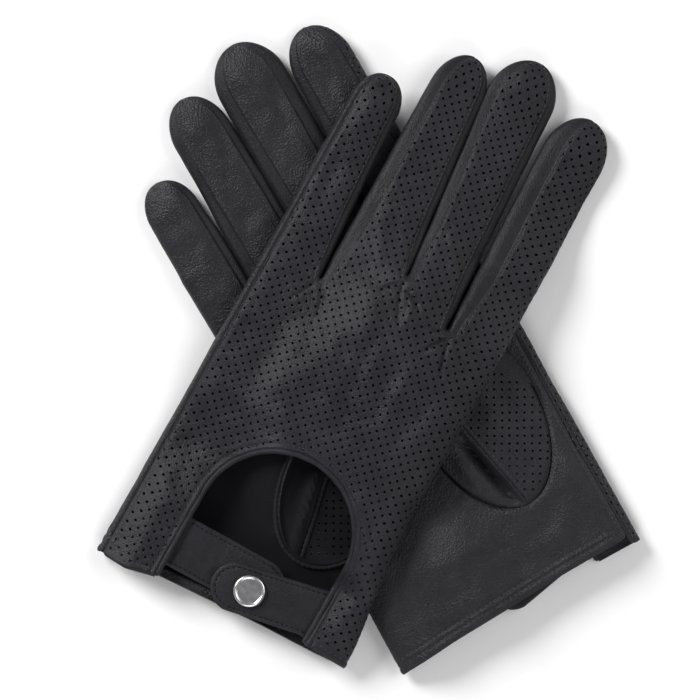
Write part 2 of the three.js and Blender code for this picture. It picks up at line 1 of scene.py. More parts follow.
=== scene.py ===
"""The looks of a pair of leather driving gloves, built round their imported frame.

Each glove is drawn in its own frame, in millimetres: x towards the thumb, y towards the fingertips, z = 0 on the
flat of its back and the palm below. `world` puts it where the frame's joints say that the glove lies.
"""
import json
import math
import bpy
import numpy as np
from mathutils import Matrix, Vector, geometry

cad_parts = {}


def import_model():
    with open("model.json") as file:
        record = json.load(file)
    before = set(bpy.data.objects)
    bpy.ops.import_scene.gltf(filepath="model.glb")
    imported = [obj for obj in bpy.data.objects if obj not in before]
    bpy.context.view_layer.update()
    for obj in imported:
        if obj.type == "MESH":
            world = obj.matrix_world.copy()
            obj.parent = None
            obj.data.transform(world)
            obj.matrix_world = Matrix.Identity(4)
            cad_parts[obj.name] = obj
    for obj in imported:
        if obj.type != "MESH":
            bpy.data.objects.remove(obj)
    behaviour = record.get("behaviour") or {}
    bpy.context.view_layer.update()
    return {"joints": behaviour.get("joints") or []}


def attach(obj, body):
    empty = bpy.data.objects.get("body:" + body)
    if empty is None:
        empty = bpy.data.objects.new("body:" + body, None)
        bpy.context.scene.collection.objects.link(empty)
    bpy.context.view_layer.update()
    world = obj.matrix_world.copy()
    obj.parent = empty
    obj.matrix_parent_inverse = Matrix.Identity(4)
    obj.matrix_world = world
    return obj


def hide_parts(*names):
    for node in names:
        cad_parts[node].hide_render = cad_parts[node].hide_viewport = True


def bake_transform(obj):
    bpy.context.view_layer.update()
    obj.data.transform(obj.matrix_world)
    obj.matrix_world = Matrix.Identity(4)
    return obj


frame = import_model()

MM = 0.001

# ---- the gloves' pattern ----

LEATHER = 0.75
CUFF_THICKNESS = 12.0
HAND_THICKNESS = 8.0
FINGER_THICKNESS = 8.6
LITTLE_EDGE = -53.0
INDEX_EDGE = 46.5
CUFF_FLARE = 6.0
HAND_ROLL = 9.0  # width of the roll from the flat of the hand to its side
FINGER_ROLL = 0.85  # the same on a finger, as a share of its half width
ROLL_LENGTH = 1.2  # length of a roll along the leather, over its width
TIP_LENGTH = 1.08  # the same for a finger's round tip
TIP_END = math.radians(88)
CROTCHES = np.array([125.0, 142.0, 131.0])
ROOT_BLEND = 18.0  # length over which the hand's section turns into a finger's
WEB = 3.0  # the web between two fingers starts this far above the crotch
SEAM_CLOSING = 0.5  # share of its inset that a seam between two fingers keeps at the crotch
BACK_INSETS = [(2.2, 2.0), (4.5, 2.0), (3.0, 2.5), (7.0, -4.0)]
PALM_INSETS = [(-2.2, 2.0), (3.5, 2.3), (4.5, 4.5), (3.5, 4.0)]
TIP_LENGTHS = np.array([13.0, 16.0, 18.0, 17.0])
KEYHOLE = (3.0, 33.0, 31.1)
BINDING_RADIUS = 1.1
BAND = 2.5  # width of the plain band beside the binding
SEAM_STITCHES = 1.15  # from a seam's edge to its stitches
SIDE_STITCHES = 1.6
HEM_STITCHES = {1: (2.7,), -1: (3.3, 5.7)}
HEM_PLAIN = 3.3  # the perforation stops this far from a hem
THUMB_HOLE = (21.5, 70.0, 23.0, 38.5)
THUMB_TIP = (4.0, 122.0)
THUMB_NECK = (9.5, 100.0, 14.5, 12.0)
THUMB_THICKNESS = 4.5
THUMB_INSET = -0.3
THUMB_GAP = 1.4
STRAP_DEPTH = 2.25
TAB_HINGE = (30.0, 12.0)
TAB_ROUND = (0.7, 7.0, 9.65)
TAB_HIGH = 22.8
TAB_LOW = 3.0
ANCHOR_END = 41.0
STRAP_ROUND = (8.0, 11.9, 10.3)
STRAP_START = -34.2
STRAP_DROP = 3.45
SNAP = (6.0, 8.5)
CUFF_SPACING = 113.5
CROSSING_GAP = 1.3
THUMB_LIFT = 5.6
STRAP_LIFT = 1.2
STRAP_STITCHES = 1.75  # from a strap's edge to its stitches
WALL_SWELL = {"left": (0, 0, 0), "right": (0.95, 0.6, 0.6)}  # of the walls between fingers, half way up
CUFF_CURL = 4.5  # how far the upper glove's palm hem curls up towards its strap

HOLE_PITCH = 2.88
HOLE_RADIUS = 0.52
HOLE_SIDES = 8


class Glove:
    """One glove: its pattern's own sizes, and where it lies."""

    def __init__(self, name, roots, ends, tips, flare, cuffs, thumb_shift, lattice):
        self.name = name
        self.roots, self.ends, self.tips = np.array(roots, float), np.array(ends, float), np.array(tips, float)
        self.flare = flare
        self.cuffs = cuffs
        self.thumb_shift = thumb_shift
        self.lattice = math.radians(lattice)
        self.back_up = name == "left"
        hinge = next(j for j in frame["joints"] if j["name"] == name + "_tab_hinge")
        along = hinge["axis"] if self.back_up else [-a for a in hinge["axis"]]
        self.turn = math.atan2(-along[0], along[1])
        self.strap_rise = hinge["pos_m"][2] / MM + STRAP_DEPTH if self.back_up else 0.0
        x, y = turned(np.array(TAB_HINGE[0]), np.array(TAB_HINGE[1]), self.turn)
        self.origin = (hinge["pos_m"][0] / MM - x, hinge["pos_m"][1] / MM - y)

    @property
    def body(self):
        return self.name + "_glove"

    @property
    def tab_body(self):
        return self.name + "_tab"


def mix(a, b, t):
    return a + (b - a) * t


def smooth(x, low, high):
    t = np.clip((x - low) / (high - low), 0, 1)
    return t * t * (3 - 2 * t)


def hump(x, middle, width):
    return np.exp(-(((x - middle) / width) ** 2))


def turned(x, y, angle):
    c, s = math.cos(angle), math.sin(angle)
    return c * x - s * y, s * x + c * y


LEFT = Glove(
    "left",
    [(-53, -29.5), (-28.5, -0.5), (0.5, 22.5), (23.5, 46.5)],
    [(-53.5, -33.5), (-29.5, -7.5), (-9, 18), (20.5, 45.5)],
    [207.5, 230, 240.5, 231],
    (0, 60),
    {
        1: [(-53, -7), (-40, -7.2), (-29, -4.6), (36, 0.8), (53, 0)],
        -1: [(-53, -6.8), (-44, -6.4), (-30, -3.9), (15, -1.2), (53, 0)]
    },
    (-4, -3.5),
    43,
)
RIGHT = Glove(
    "right",
    [(-53, -30.5), (-29.5, -5.5), (-4.5, 21.5), (22.5, 49.5)],
    [(-54.5, -33.5), (-31.5, -8), (-7.5, 21), (21.8, 47)],
    [209, 232.5, 241.5, 234],
    (90, 170),
    {1: [(-53, -1.6), (53, -1.6)], -1: [(-53, -3), (-30, -1), (-8, 0), (20, 1.4), (53, 2)]},
    (0, 0),
    45,
)


# ---- the gloves' skin ----


def thickness(x, y):
    at_strap = (1 - smooth(y, 25, 70)) * smooth(x, -52, -38) * (1 - smooth(x, 41, 52))
    full = mix(HAND_THICKNESS, CUFF_THICKNESS, at_strap)
    return full + (FINGER_THICKNESS - HAND_THICKNESS) * smooth(y, 110, 140)


def hand_edges(glove, y):
    return LITTLE_EDGE, INDEX_EDGE + CUFF_FLARE * (1 - smooth(y, *glove.flare))


def finger_of(glove, u, v):
    """Index of the finger that each place on the pattern belongs to."""
    along = np.clip((v - 130) / 80, 0, 1)
    index = np.zeros(np.shape(u), int)
    for i in range(3):
        between = mix(
            glove.roots[i, 1] + glove.roots[i + 1, 0], glove.ends[i, 1] + glove.ends[i + 1, 0], along
        ) / 2
        index += u > between
    return index


def root_heights(glove, u):
    return np.interp(u, glove.roots.ravel(), CROTCHES[[0, 0, 0, 1, 1, 2, 2, 2]])


def finger_frame(glove, index, v, share):
    """A finger's two sides, the angle round its tip and the blend from the hand's section, at v along it."""
    before = CROTCHES[np.maximum(index - 1, 0)]
    after = CROTCHES[np.minimum(index, 2)]
    root = mix(before, after, np.clip(share, 0, 1))
    reach = TIP_LENGTHS[index]
    straight = glove.tips[index] - reach
    step = np.clip((v - root) / (straight - root), 0, 1)
    angle = np.clip((v - straight) / (reach * TIP_LENGTH), 0, 1) * math.pi / 2
    left = mix(glove.roots[index, 0], glove.ends[index, 0], step)
    right = mix(glove.roots[index, 1], glove.ends[index, 1], step)
    y = np.where(v > straight, straight + reach * np.sin(angle), v)
    return left, right, angle, smooth(v - root, 0, ROOT_BLEND), y


def panel_point(glove, face, u, v):
    """Where the place u, v of a panel's pattern lies, before its relief. face is 1 on the back, -1 on the palm."""
    index = finger_of(glove, u, v)
    share = np.full(np.shape(u), 0.5)
    for _ in range(3):
        left, right, angle, blend, y = finger_frame(glove, index, v, share)
        share = (u - left) / (right - left)
    half_width, middle = (right - left) / 2, (left + right) / 2
    shrink = np.maximum(np.cos(angle), 0.01)
    q = (u - middle) / shrink
    roll = FINGER_ROLL * half_width
    past = 1 - np.clip(half_width - np.abs(q), 0, roll) / roll
    outer = ((index == 0) & (q < 0)) | ((index == 3) & (q > 0))
    width = mix(HAND_ROLL, roll, blend)
    t = np.clip((np.abs(q) - half_width + width) / (width * ROLL_LENGTH), 0, 1.95)
    phi = (1 - t) * math.pi / 2
    folded = np.sign(q) * np.where(t > 0, half_width - width * (1 - np.cos(phi)), np.abs(q))
    x_finger = middle + np.where(outer, folded, q) * shrink
    rise_finger = np.where(outer, np.sin(phi), mix(1, np.sqrt(1 - past**2), blend)) * shrink

    low, high = hand_edges(glove, v)
    t_low = (low + HAND_ROLL - u) / (HAND_ROLL * ROLL_LENGTH)
    t_high = (u - high + HAND_ROLL) / (HAND_ROLL * ROLL_LENGTH)
    phi = (1 - np.clip(np.maximum(t_low, t_high), 0, 1.95)) * math.pi / 2
    rolled = HAND_ROLL * (1 - np.cos(phi))
    x_hand = np.where(t_low > 0, low + rolled, np.where(t_high > 0, high - rolled, u))

    in_hand = v < root_heights(glove, u)
    x = np.where(in_hand, x_hand, x_finger)
    y = np.where(in_hand, v, y)
    rise = np.where(in_hand, np.sin(phi), rise_finger)
    return np.stack([x, y, -thickness(x, y) / 2 * (1 - face * rise)], -1)


def inner_inset(inset, above_crotch):
    """How far a seam between two fingers lies from the finger's side: the seams close up towards the crotch."""
    return inset * mix(SEAM_CLOSING, 1, smooth(above_crotch, 2, 28))


def fold_offset(inset, width):
    """Distance along the leather from a side's flat edge line to a seam; a negative inset is past the side."""
    phi = math.copysign(1, inset) * np.arccos(1 - abs(inset) / width)
    return width - width * ROLL_LENGTH * (1 - phi / (math.pi / 2))


def side_line(glove, face, index, side, low):
    """A panel's seam along one side of a finger, from `low` to the tip, on the pattern."""
    inset = (BACK_INSETS if face > 0 else PALM_INSETS)[index][(side + 1) // 2]
    reach = TIP_LENGTHS[index]
    straight = glove.tips[index] - reach
    v = np.concatenate([
        np.linspace(low, straight, 60),
        straight + reach * TIP_LENGTH * np.linspace(0.03, TIP_END / (math.pi / 2), 26)
    ])
    left, right, angle, blend, _ = finger_frame(glove, np.full(v.shape, index), v, (side + 1) / 2)
    half_width = (right - left) / 2
    if (index, side) in ((0, -1), (3, 1)):
        width = mix(HAND_ROLL, FINGER_ROLL * half_width, blend)
        q = half_width - fold_offset(inset, width)
    else:
        q = half_width - inner_inset(inset, v - CROTCHES[index if side > 0 else index - 1])
    return np.column_stack([(left + right) / 2 + side * q * np.cos(angle), v])


def web_gap(glove, face, index):
    """Middle and half width of the gap between two fingers' seams at their crotch."""
    insets = BACK_INSETS if face > 0 else PALM_INSETS
    a = glove.roots[index, 1] - inner_inset(insets[index][1], WEB)
    b = glove.roots[index + 1, 0] + inner_inset(insets[index + 1][0], WEB)
    return (a + b) / 2, (b - a) / 2


def panel_outline(glove, face):
    """(points, kinds) of a panel's outline on its pattern, clockwise from its little-finger corner."""
    insets = BACK_INSETS if face > 0 else PALM_INSETS
    cuff = np.array(glove.cuffs[face], float)
    cuff_y = lambda u: np.interp(u, cuff[:, 0], cuff[:, 1])
    parts = []
    for index in range(4):
        low = CROTCHES[index - 1] + WEB if index else CROTCHES[0]
        parts.append(("seam", side_line(glove, face, index, -1, low)))
        high = CROTCHES[index] + WEB if index < 3 else CROTCHES[2]
        parts.append(("seam", side_line(glove, face, index, 1, high)[::-1]))
        if index < 3:
            middle, half = web_gap(glove, face, index)
            a = np.linspace(math.pi, 2 * math.pi, 17)[1:-1]
            parts.append((
                "seam",
                np.column_stack([middle + half * np.cos(a), CROTCHES[index] + WEB + WEB * np.sin(a)])
            ))
    hand_v = np.linspace(2, CROTCHES[0] - 2, 60)
    low_edge, _ = hand_edges(glove, hand_v)
    left_u = low_edge + fold_offset(insets[0][0], HAND_ROLL)
    hand_v_right = np.linspace(3, CROTCHES[2] - 2, 60)
    right_u = hand_edges(glove, hand_v_right)[1] - fold_offset(insets[3][1], HAND_ROLL)
    left = np.column_stack([np.full(60, left_u), hand_v])
    right = np.column_stack([right_u, hand_v_right])
    parts.insert(0, ("side", left))
    parts.append(("side", right[::-1]))
    bend = np.linspace(0, math.pi / 2, 5)[1:-1]
    u0, u1 = left[0, 0], right[0, 0]
    corner = 2.2
    if face > 0:
        kx, ky, radius = KEYHOLE
        start, end = kx - radius - 0.4, kx + radius + 0.4
        arc = np.linspace(0, math.pi, 70)
        arch = np.column_stack([kx + (radius + 0.4) * np.cos(arc), ky + (radius + 0.4) * np.sin(arc)])
        leg = np.linspace(0.5, ky - 1, 20)
        spans = [(u1 - corner, end), (start, u0 + corner)]
    else:
        spans = [(u1 - corner, u0 + corner)]
    bottom = []
    bottom.append((
        "hem", np.column_stack([u1 - corner * (1 - np.cos(bend)), cuff_y(u1) + corner * (1 - np.sin(bend))])
    ))
    for k, (a, b) in enumerate(spans):
        u = np.linspace(a, b, 40)
        bottom.append(("hem", np.column_stack([u, cuff_y(u)])))
        if face > 0 and k == 0:
            bottom.append(("keyhole", np.column_stack([np.full(20, end), leg])))
            bottom.append(("keyhole", arch))
            bottom.append(("keyhole", np.column_stack([np.full(20, start), leg[::-1]])))
    bottom.append((
        "hem", np.column_stack([u0 + corner * (1 - np.sin(bend)), cuff_y(u0) + corner * (1 - np.cos(bend))])
    ))
    parts += bottom
    points = np.concatenate([p for _, p in parts])
    kinds = np.concatenate([[k] * len(p) for k, p in parts])
    return points, kinds


# ---- relief of the leather ----


def waves(x, y, wavelength, seed, count=9):
    """Smooth random waves of about that wavelength, with a size of about 1."""
    rng = np.random.default_rng(seed)
    total = np.zeros(np.shape(x))
    for _ in range(count):
        angle, phase = rng.uniform(0, 2 * math.pi, 2)
        k = 2 * math.pi / (wavelength * rng.uniform(0.7, 1.5))
        total += np.cos(k * (math.cos(angle) * x + math.sin(angle) * y) + phase)
    return total / math.sqrt(count)


def distance(points, line, closed=False):
    """Distance of each point from a line of points."""
    a = line if closed else line[:-1]
    b = np.roll(line, -1, 0) if closed else line[1:]
    best = np.full(len(points), 1e9)
    for start in range(0, len(points), 4000):
        p = points[start : start + 4000, None]
        d = b - a
        t = np.clip(((p - a) * d).sum(2) / np.maximum((d * d).sum(1), 1e-12), 0, 1)
        best[start : start + 4000] = np.sqrt((((a + t[..., None] * d) - p) ** 2).sum(2)).min(1)
    return best


def seam_relief(d, face):
    """A sewn edge: turned down, then a slight swell; on the back also the dip that its stitches pull in."""
    edge = -0.5 * hump(d, 0, 0.42)
    if face > 0:
        return edge + 0.1 * hump(d, 0.6, 0.3) - 0.24 * hump(d, SEAM_STITCHES, 0.36) + 0.14 * hump(d, 2.3, 0.7)
    return edge + 0.26 * hump(d, 1.1, 0.7)


def hem_relief(d, face):
    """A turned hem. On the palm it is held by two rows of stitches with a ridge between them."""
    edge = -0.45 * hump(d, 0, 0.5) + 0.28 * (1 - smooth(d, 2.0, 3.2))
    if face > 0:
        return edge - 0.3 * hump(d, HEM_STITCHES[1][0], 0.45)
    low, high = HEM_STITCHES[-1]
    return edge - 0.34 * hump(d, low, 0.4) + 0.24 * hump(d, (low + high) / 2, 0.7) - 0.34 * hump(d, high, 0.4)


def band_relief(d):
    """The plain band round the wrist cut-out, between the binding and its line of stitches."""
    edge = -0.5 * hump(d, 0, 0.5) + 0.32 * hump(d, 1.3, 0.65)
    return edge - 0.42 * hump(d, BAND, 0.42) + 0.16 * hump(d, 3.6, 0.8)


def creases(x, y, lines):
    """Short folds: each is x, y of its two ends, its half width and its height."""
    total = np.zeros(np.shape(x))
    for x0, y0, x1, y1, width, height in lines:
        length = math.hypot(x1 - x0, y1 - y0)
        dx, dy = (x1 - x0) / length, (y1 - y0) / length
        along = ((x - x0) * dx + (y - y0) * dy) / length
        across = (x - x0) * dy - (y - y0) * dx
        wander = 0.12 * length * np.sin(2.2 * along + x0)
        fade = smooth(along, -0.15, 0.25) * (1 - smooth(along, 0.6, 1.2))
        total += height * fade * hump(across, wander, width)
    return total


BACK_FOLDS = {
    "left": [
        (1, 142, 5, 127, 0.75, -1.15), (2, 141, 10, 133, 0.7, -0.9), (0, 141, -6, 133, 0.7, -0.9),
        (4, 138, 8, 124, 1.2, 0.5), (24.5, 132, 20, 119, 0.75, -1.15),
        (25, 131, 32, 116, 0.8, -1.25), (23.5, 134, 16, 129, 0.7, -0.9),
        (28, 130, 37, 122, 1.4, 0.6), (-28, 125, -24, 112, 0.8, -0.9),
        (-29, 124, -36, 116, 0.75, -0.8), (2, 74, -14, 116, 3.5, 1.1), (11, 78, -3, 118, 3.0, -0.9),
        (24, 84, 14, 116, 3.2, 1.0), (36, 95, 27, 120, 3.0, -0.7), (-20, 76, -30, 112, 4.0, 0.8),
        (30, 70, 26, 100, 3.5, -0.7), (-35, 60, -44, 90, 4.0, -0.6), (-38, 20, -46, 55, 3.5, -0.7),
        (-12, 165, -5, 152, 1.6, 0.5), (8, 168, 16, 150, 1.8, 0.6), (-14, 185, -24, 170, 2.0, -0.5),
        (33, 175, 42, 160, 2.5, -0.5), (-22, 160, -14, 140, 2.0, 0.6),
        (-42, 175, -47, 145, 2.5, -0.5), (6, 205, 12, 180, 2.5, -0.5), (34, 205, 40, 180, 2.2, 0.5),
        (40, 30, 43, 62, 2.4, 0.7), (36, 60, 42, 90, 2.4, -0.5),
    ],
    "right": [(0, 80, -6, 110, 5, 0.3), (-30, 60, -24, 100, 6, -0.3)],
}
PALM_FOLDS = {
    "right": [
        (-8, 48, -1, 55, 0.9, -0.6), (-9, 51, -2, 59, 0.9, -0.5), (-6, 45, 1, 50, 0.8, -0.5),
        (-16, 0, -4, 36, 12.0, 3.2), (-40, 8, -30, 46, 5.0, -1.1), (-27, 24, -12, 38, 3.0, -0.7),
        (20, 12, 40, 26, 6.0, 0.8), (44, 30, 47, 80, 2.5, -0.5), (16, 4, 26, 26, 7.0, -0.8),
        (-50, 120, -38, 116, 1.5, -0.5), (-46, 206, -44, 160, 3.0, 0.7),
        (-38, 205, -38, 160, 3.0, -0.6), (-24, 232, -22, 165, 3.0, 0.9),
        (-28, 222, -28, 170, 2.0, -0.7), (-13, 225, -14, 170, 3.0, -0.5),
        (3, 236, 2, 170, 3.2, 0.9), (12, 225, 13, 180, 3.0, -0.7), (37, 228, 38, 195, 3.0, 1.0),
        (29, 226, 30, 195, 2.5, -0.7),
    ],
    "left": [(-30, 40, -10, 70, 4, 0.3), (-40, 90, -20, 120, 5, -0.3)],
}


class Panel:
    """The back or palm panel of a glove, drawn on its flat pattern."""

    def __init__(self, glove, face):
        self.glove, self.face = glove, face
        self.outline, self.kinds = panel_outline(glove, face)
        self.folds = (BACK_FOLDS if face > 0 else PALM_FOLDS)[glove.name]
        self.thumb_hole = None
        if face < 0:
            x, y, width, height = THUMB_HOLE
            a = np.linspace(0, 2 * math.pi, 140, endpoint=False)
            sx, sy = glove.thumb_shift
            self.thumb_hole = np.column_stack([x + sx + width * np.cos(a), y + sy + height * np.sin(a)])

    def relief(self, u, v, x, y, level):
        flat = np.column_stack([u, v])
        sewn = np.full(len(flat), 1e9)
        closed = np.concatenate([self.outline, self.outline[:1]])
        kinds = np.concatenate([self.kinds, self.kinds[:1]])
        hem, keyhole = sewn.copy(), sewn.copy()
        for start, end in self.runs(kinds):
            line = closed[start : end + 1]
            near = distance(flat, line)
            if kinds[start] in ("seam", "side"):
                sewn = np.minimum(sewn, near)
            elif kinds[start] == "hem":
                hem = np.minimum(hem, near)
            else:
                keyhole = np.minimum(keyhole, near)
        seed = 11 if self.face > 0 else 12
        inside = smooth(np.minimum(sewn, hem), 0, 6)
        total = seam_relief(sewn, self.face) + np.where(sewn < 2.5, 0.5, 1) * hem_relief(hem, self.face)
        if self.face > 0:
            total += band_relief(keyhole)
        if self.thumb_hole is not None:
            near = distance(flat, self.thumb_hole, True)
            total += -0.75 * hump(near, 0, 0.7) + 0.12 * hump(near, 2.2, 1.2)
        loose = self.looseness(x, y) * smooth(level, 0.2, 0.8)
        total += inside * (0.15 + 0.45 * loose) * (waves(x, y, 38, seed) + 0.38 * waves(x, y, 12, seed + 1))
        total += (0.3 + 0.7 * loose) * creases(x, y, self.folds)
        if self.face < 0 and self.glove.back_up:
            total -= CUFF_CURL * (1 - smooth(hem, 0, 11)) * smooth(x, -46, -34) * (1 - smooth(x, 38, 50))
        if self.face > 0 and not self.glove.back_up:
            total = np.minimum(total, 0) - 0.15
        return total

    def looseness(self, x, y):
        """1 where nothing lies on the leather, 0 where it touches the floor or the other glove."""
        if self.glove.back_up:
            return np.full(np.shape(x), 1.0 if self.face > 0 else 0.0)
        if self.face > 0:
            return np.zeros(np.shape(x))
        over_x, over_y = seen_from_left(x, y)
        beside = np.maximum(np.abs(over_x) - 53, np.maximum(-8 - over_y, 0))
        return smooth(beside, 1, 9)

    def runs(self, kinds):
        """(first, last) of each stretch of the closed outline with one kind."""
        start, found = 0, []
        for i in range(1, len(kinds)):
            same = kinds[i] == kinds[start] or {kinds[i], kinds[start]} == {"seam", "side"}
            if not same or i == len(kinds) - 1:
                found.append((start, i))
                start = i
        return found

    def surface(self, flat):
        u, v = flat[:, 0], flat[:, 1]
        h = 0.05
        point = panel_point(self.glove, self.face, u, v)
        du = panel_point(self.glove, self.face, u + h, v) - panel_point(self.glove, self.face, u - h, v)
        dv = panel_point(self.glove, self.face, u, v + h) - panel_point(self.glove, self.face, u, v - h)
        normal = unit(np.cross(du, dv)) * self.face
        return point + normal * self.relief(
            u, v, point[:, 0], point[:, 1], np.abs(normal[:, 2])
        )[:, None], normal


# ---- meshes ----


def unit(v):
    return v / np.maximum(np.linalg.norm(v, axis=-1, keepdims=True), 1e-12)


def densify(points, spacing, closed=True):
    ends = np.roll(points, -1, 0) if closed else points[1:]
    out = []
    for a, b in zip(points, ends):
        count = max(1, int(math.ceil(np.linalg.norm(b - a) / spacing)))
        out.append(a + (b - a) * (np.arange(count) / count)[:, None])
    if not closed:
        out.append(points[-1:])
    return np.concatenate(out)


def inside(points, loop):
    x, y = points[:, 0, None], points[:, 1, None]
    x0, y0 = loop[:, 0], loop[:, 1]
    x1, y1 = np.roll(x0, -1), np.roll(y0, -1)
    found = np.zeros(len(points), bool)
    for start in range(0, len(points), 4000):
        s = slice(start, start + 4000)
        crosses = (y0 > y[s]) != (y1 > y[s])
        at = x0 + (y[s] - y0) * (x1 - x0) / np.where(y1 == y0, 1e-12, y1 - y0)
        found[s] = (crosses & (x[s] < at)).sum(1) % 2 == 1
    return found


def lattice_points(low, high, pitch, angle):
    """Points of a square lattice turned by an angle, over a box."""
    reach = int(np.linalg.norm(high - low) / pitch) + 2
    i, j = np.meshgrid(np.arange(-reach, reach), np.arange(-reach, reach))
    x, y = turned(i.ravel() * pitch, j.ravel() * pitch, angle)
    points = np.column_stack([x, y]) + (low + high) / 2
    keep = ((points > low) & (points < high)).all(1)
    return points[keep]


def fill(
    outline, cuts=(), pitch=1.35, holes=None, rings=(0.35, 0.75, 1.15, 1.6, 2.2, 2.9), hole_shape=None,
    fine=()
):
    """Triangles over a flat outline less its cuts and round holes, with finer rows beside every edge.

    `fine` lists discs (x, y, radius, pitch) with a finer pitch of their own.
    """
    loops = [densify(outline, 1.0)] + [densify(c, 1.0) for c in cuts]
    edges = np.concatenate(loops)
    wall = lambda p: np.min([distance(p, loop, True) for loop in loops], 0)
    within = lambda p: inside(p, loops[0]) & ~np.any(
        [inside(p, c) for c in loops[1:]] + [np.zeros(len(p), bool)], 0
    )
    extra = []
    for loop in loops:
        ahead = unit(np.roll(loop, -1, 0) - np.roll(loop, 1, 0))
        normal = np.column_stack([-ahead[:, 1], ahead[:, 0]])
        for gap in rings:
            for way in (1, -1):
                p = loop + way * gap * normal
                p = p[within(p)]
                extra.append(p[wall(p) > 0.93 * gap])
    grid = lattice_points(outline.min(0), outline.max(0), pitch, 0.4)
    grid = grid[within(grid)]
    grid = grid[wall(grid) > rings[-1] + 0.4 * pitch]
    for x, y, radius, fine_pitch in fine:
        grid = grid[np.hypot(*(grid - (x, y)).T) > radius]
        disc = lattice_points(
            np.array([x - radius, y - radius]), np.array([x + radius, y + radius]), fine_pitch, 0.4
        )
        disc = disc[np.hypot(*(disc - (x, y)).T) < radius]
        disc = disc[within(disc)]
        extra.append(disc[wall(disc) > rings[-1] + 0.4 * fine_pitch])
    extra.append(grid)
    extra = thin(np.concatenate(extra), 0.42)
    rims = np.zeros((0, 2))
    if holes is not None and len(holes):
        a = np.arange(HOLE_SIDES) * 2 * math.pi / HOLE_SIDES
        circle = HOLE_RADIUS * np.column_stack([np.cos(a), np.sin(a)])
        shapes = np.einsum("nij,kj->nki", hole_shape, circle) if hole_shape is not None else circle[None]
        rims = (holes[:, None] + shapes).reshape(-1, 2)
        extra = extra[nearest(extra, holes) > HOLE_RADIUS + 0.3]
    points = np.concatenate([edges, rims, extra])
    links, start = [], 0
    owner = np.full(len(points), -1)
    for loop in loops:
        n = np.arange(len(loop))
        links.append(np.column_stack([start + n, start + np.roll(n, -1)]))
        start += len(loop)
    for k in range(len(rims) // HOLE_SIDES):
        n = np.arange(HOLE_SIDES)
        links.append(np.column_stack([start + n, start + np.roll(n, -1)]))
        owner[start : start + HOLE_SIDES] = k
        start += HOLE_SIDES
    links = np.concatenate(links)
    made = geometry.delaunay_2d_cdt([Vector(p) for p in points], links.tolist(), [], 0, 1e-7)
    flat = np.array([tuple(p) for p in made[0]])
    tris = np.array([f for f in made[2] if len(f) == 3])
    origin = np.array([s[0] if s else -1 for s in made[3]])
    owner = np.where(origin >= 0, owner[np.maximum(origin, 0)], -1)
    own = owner[tris]
    in_hole = (own[:, 0] >= 0) & (own[:, 0] == own[:, 1]) & (own[:, 1] == own[:, 2])
    tris = tris[~in_hole]
    tris = tris[within(flat[tris].mean(1))]
    a, b, c = (flat[tris[:, k]] for k in range(3))
    area = (b[:, 0] - a[:, 0]) * (c[:, 1] - a[:, 1]) - (b[:, 1] - a[:, 1]) * (c[:, 0] - a[:, 0])
    tris = np.where((area > 0)[:, None], tris, tris[:, ::-1])[np.abs(area) > 1e-7]
    used, tris = np.unique(tris, return_inverse=True)
    return flat[used], tris.reshape(-1, 3)


def thin(points, gap):
    """The points less those that share a square of a fine grid with an earlier one."""
    cells = np.round(points / gap).astype(int)
    _, first = np.unique(cells, axis=0, return_index=True)
    return points[np.sort(first)]


def nearest(points, others):
    best = np.full(len(points), 1e9)
    for start in range(0, len(points), 3000):
        p = points[start : start + 3000, None]
        best[start : start + 3000] = np.sqrt(((p - others[None]) ** 2).sum(2)).min(1)
    return best


def vertex_normals(points, tris):
    a, b, c = (points[tris[:, k]] for k in range(3))
    n = np.cross(b - a, c - a)
    total = np.zeros_like(points)
    for k in range(3):
        np.add.at(total, tris[:, k], n)
    return unit(total)


def thicken(points, tris, amount):
    """A closed sheet: the outer face as given, and an inner face below it. Returns points, faces and inner flags."""
    normals = vertex_normals(points, tris)
    count = len(points)
    edges = np.concatenate([tris[:, [0, 1]], tris[:, [1, 2]], tris[:, [2, 0]]])
    codes = edges[:, 0] * count + edges[:, 1]
    rim = edges[~np.isin(codes, edges[:, 1] * count + edges[:, 0])]
    walls = np.column_stack([rim[:, 1], rim[:, 0], rim[:, 0] + count, rim[:, 1] + count])
    faces = tris.tolist() + (tris[:, ::-1] + count).tolist() + walls.tolist()
    flags = np.concatenate([np.zeros(len(tris), int), np.ones(len(tris), int), np.zeros(len(walls), int)])
    return np.concatenate([points, points - normals * amount]), faces, flags


def grid_faces(rows, columns, wrap=False):
    span = columns if wrap else columns - 1
    i, j = np.meshgrid(np.arange(rows - 1), np.arange(span), indexing="ij")
    i, j = i.ravel(), j.ravel()
    k = (j + 1) % columns
    return np.column_stack([i * columns + j, i * columns + k, (i + 1) * columns + k, (i + 1) * columns + j])


def triangles(quads):
    return np.concatenate([quads[:, [0, 1, 2]], quads[:, [0, 2, 3]]])


def seen_from_right(x, y):
    x, y = turned(x, y, LEFT.turn)
    return turned(x - CUFF_SPACING, y, -RIGHT.turn)


def seen_from_left(x, y):
    x, y = turned(x, y, RIGHT.turn)
    return turned(x + CUFF_SPACING, y, -LEFT.turn)


def thumb_bump(glove, x, y):
    across = (x - 13 - glove.thumb_shift[0]) / 26
    along = (y - 90 - glove.thumb_shift[1]) / 38
    return 1 - smooth(np.hypot(across, along), 0.9, 1.75)


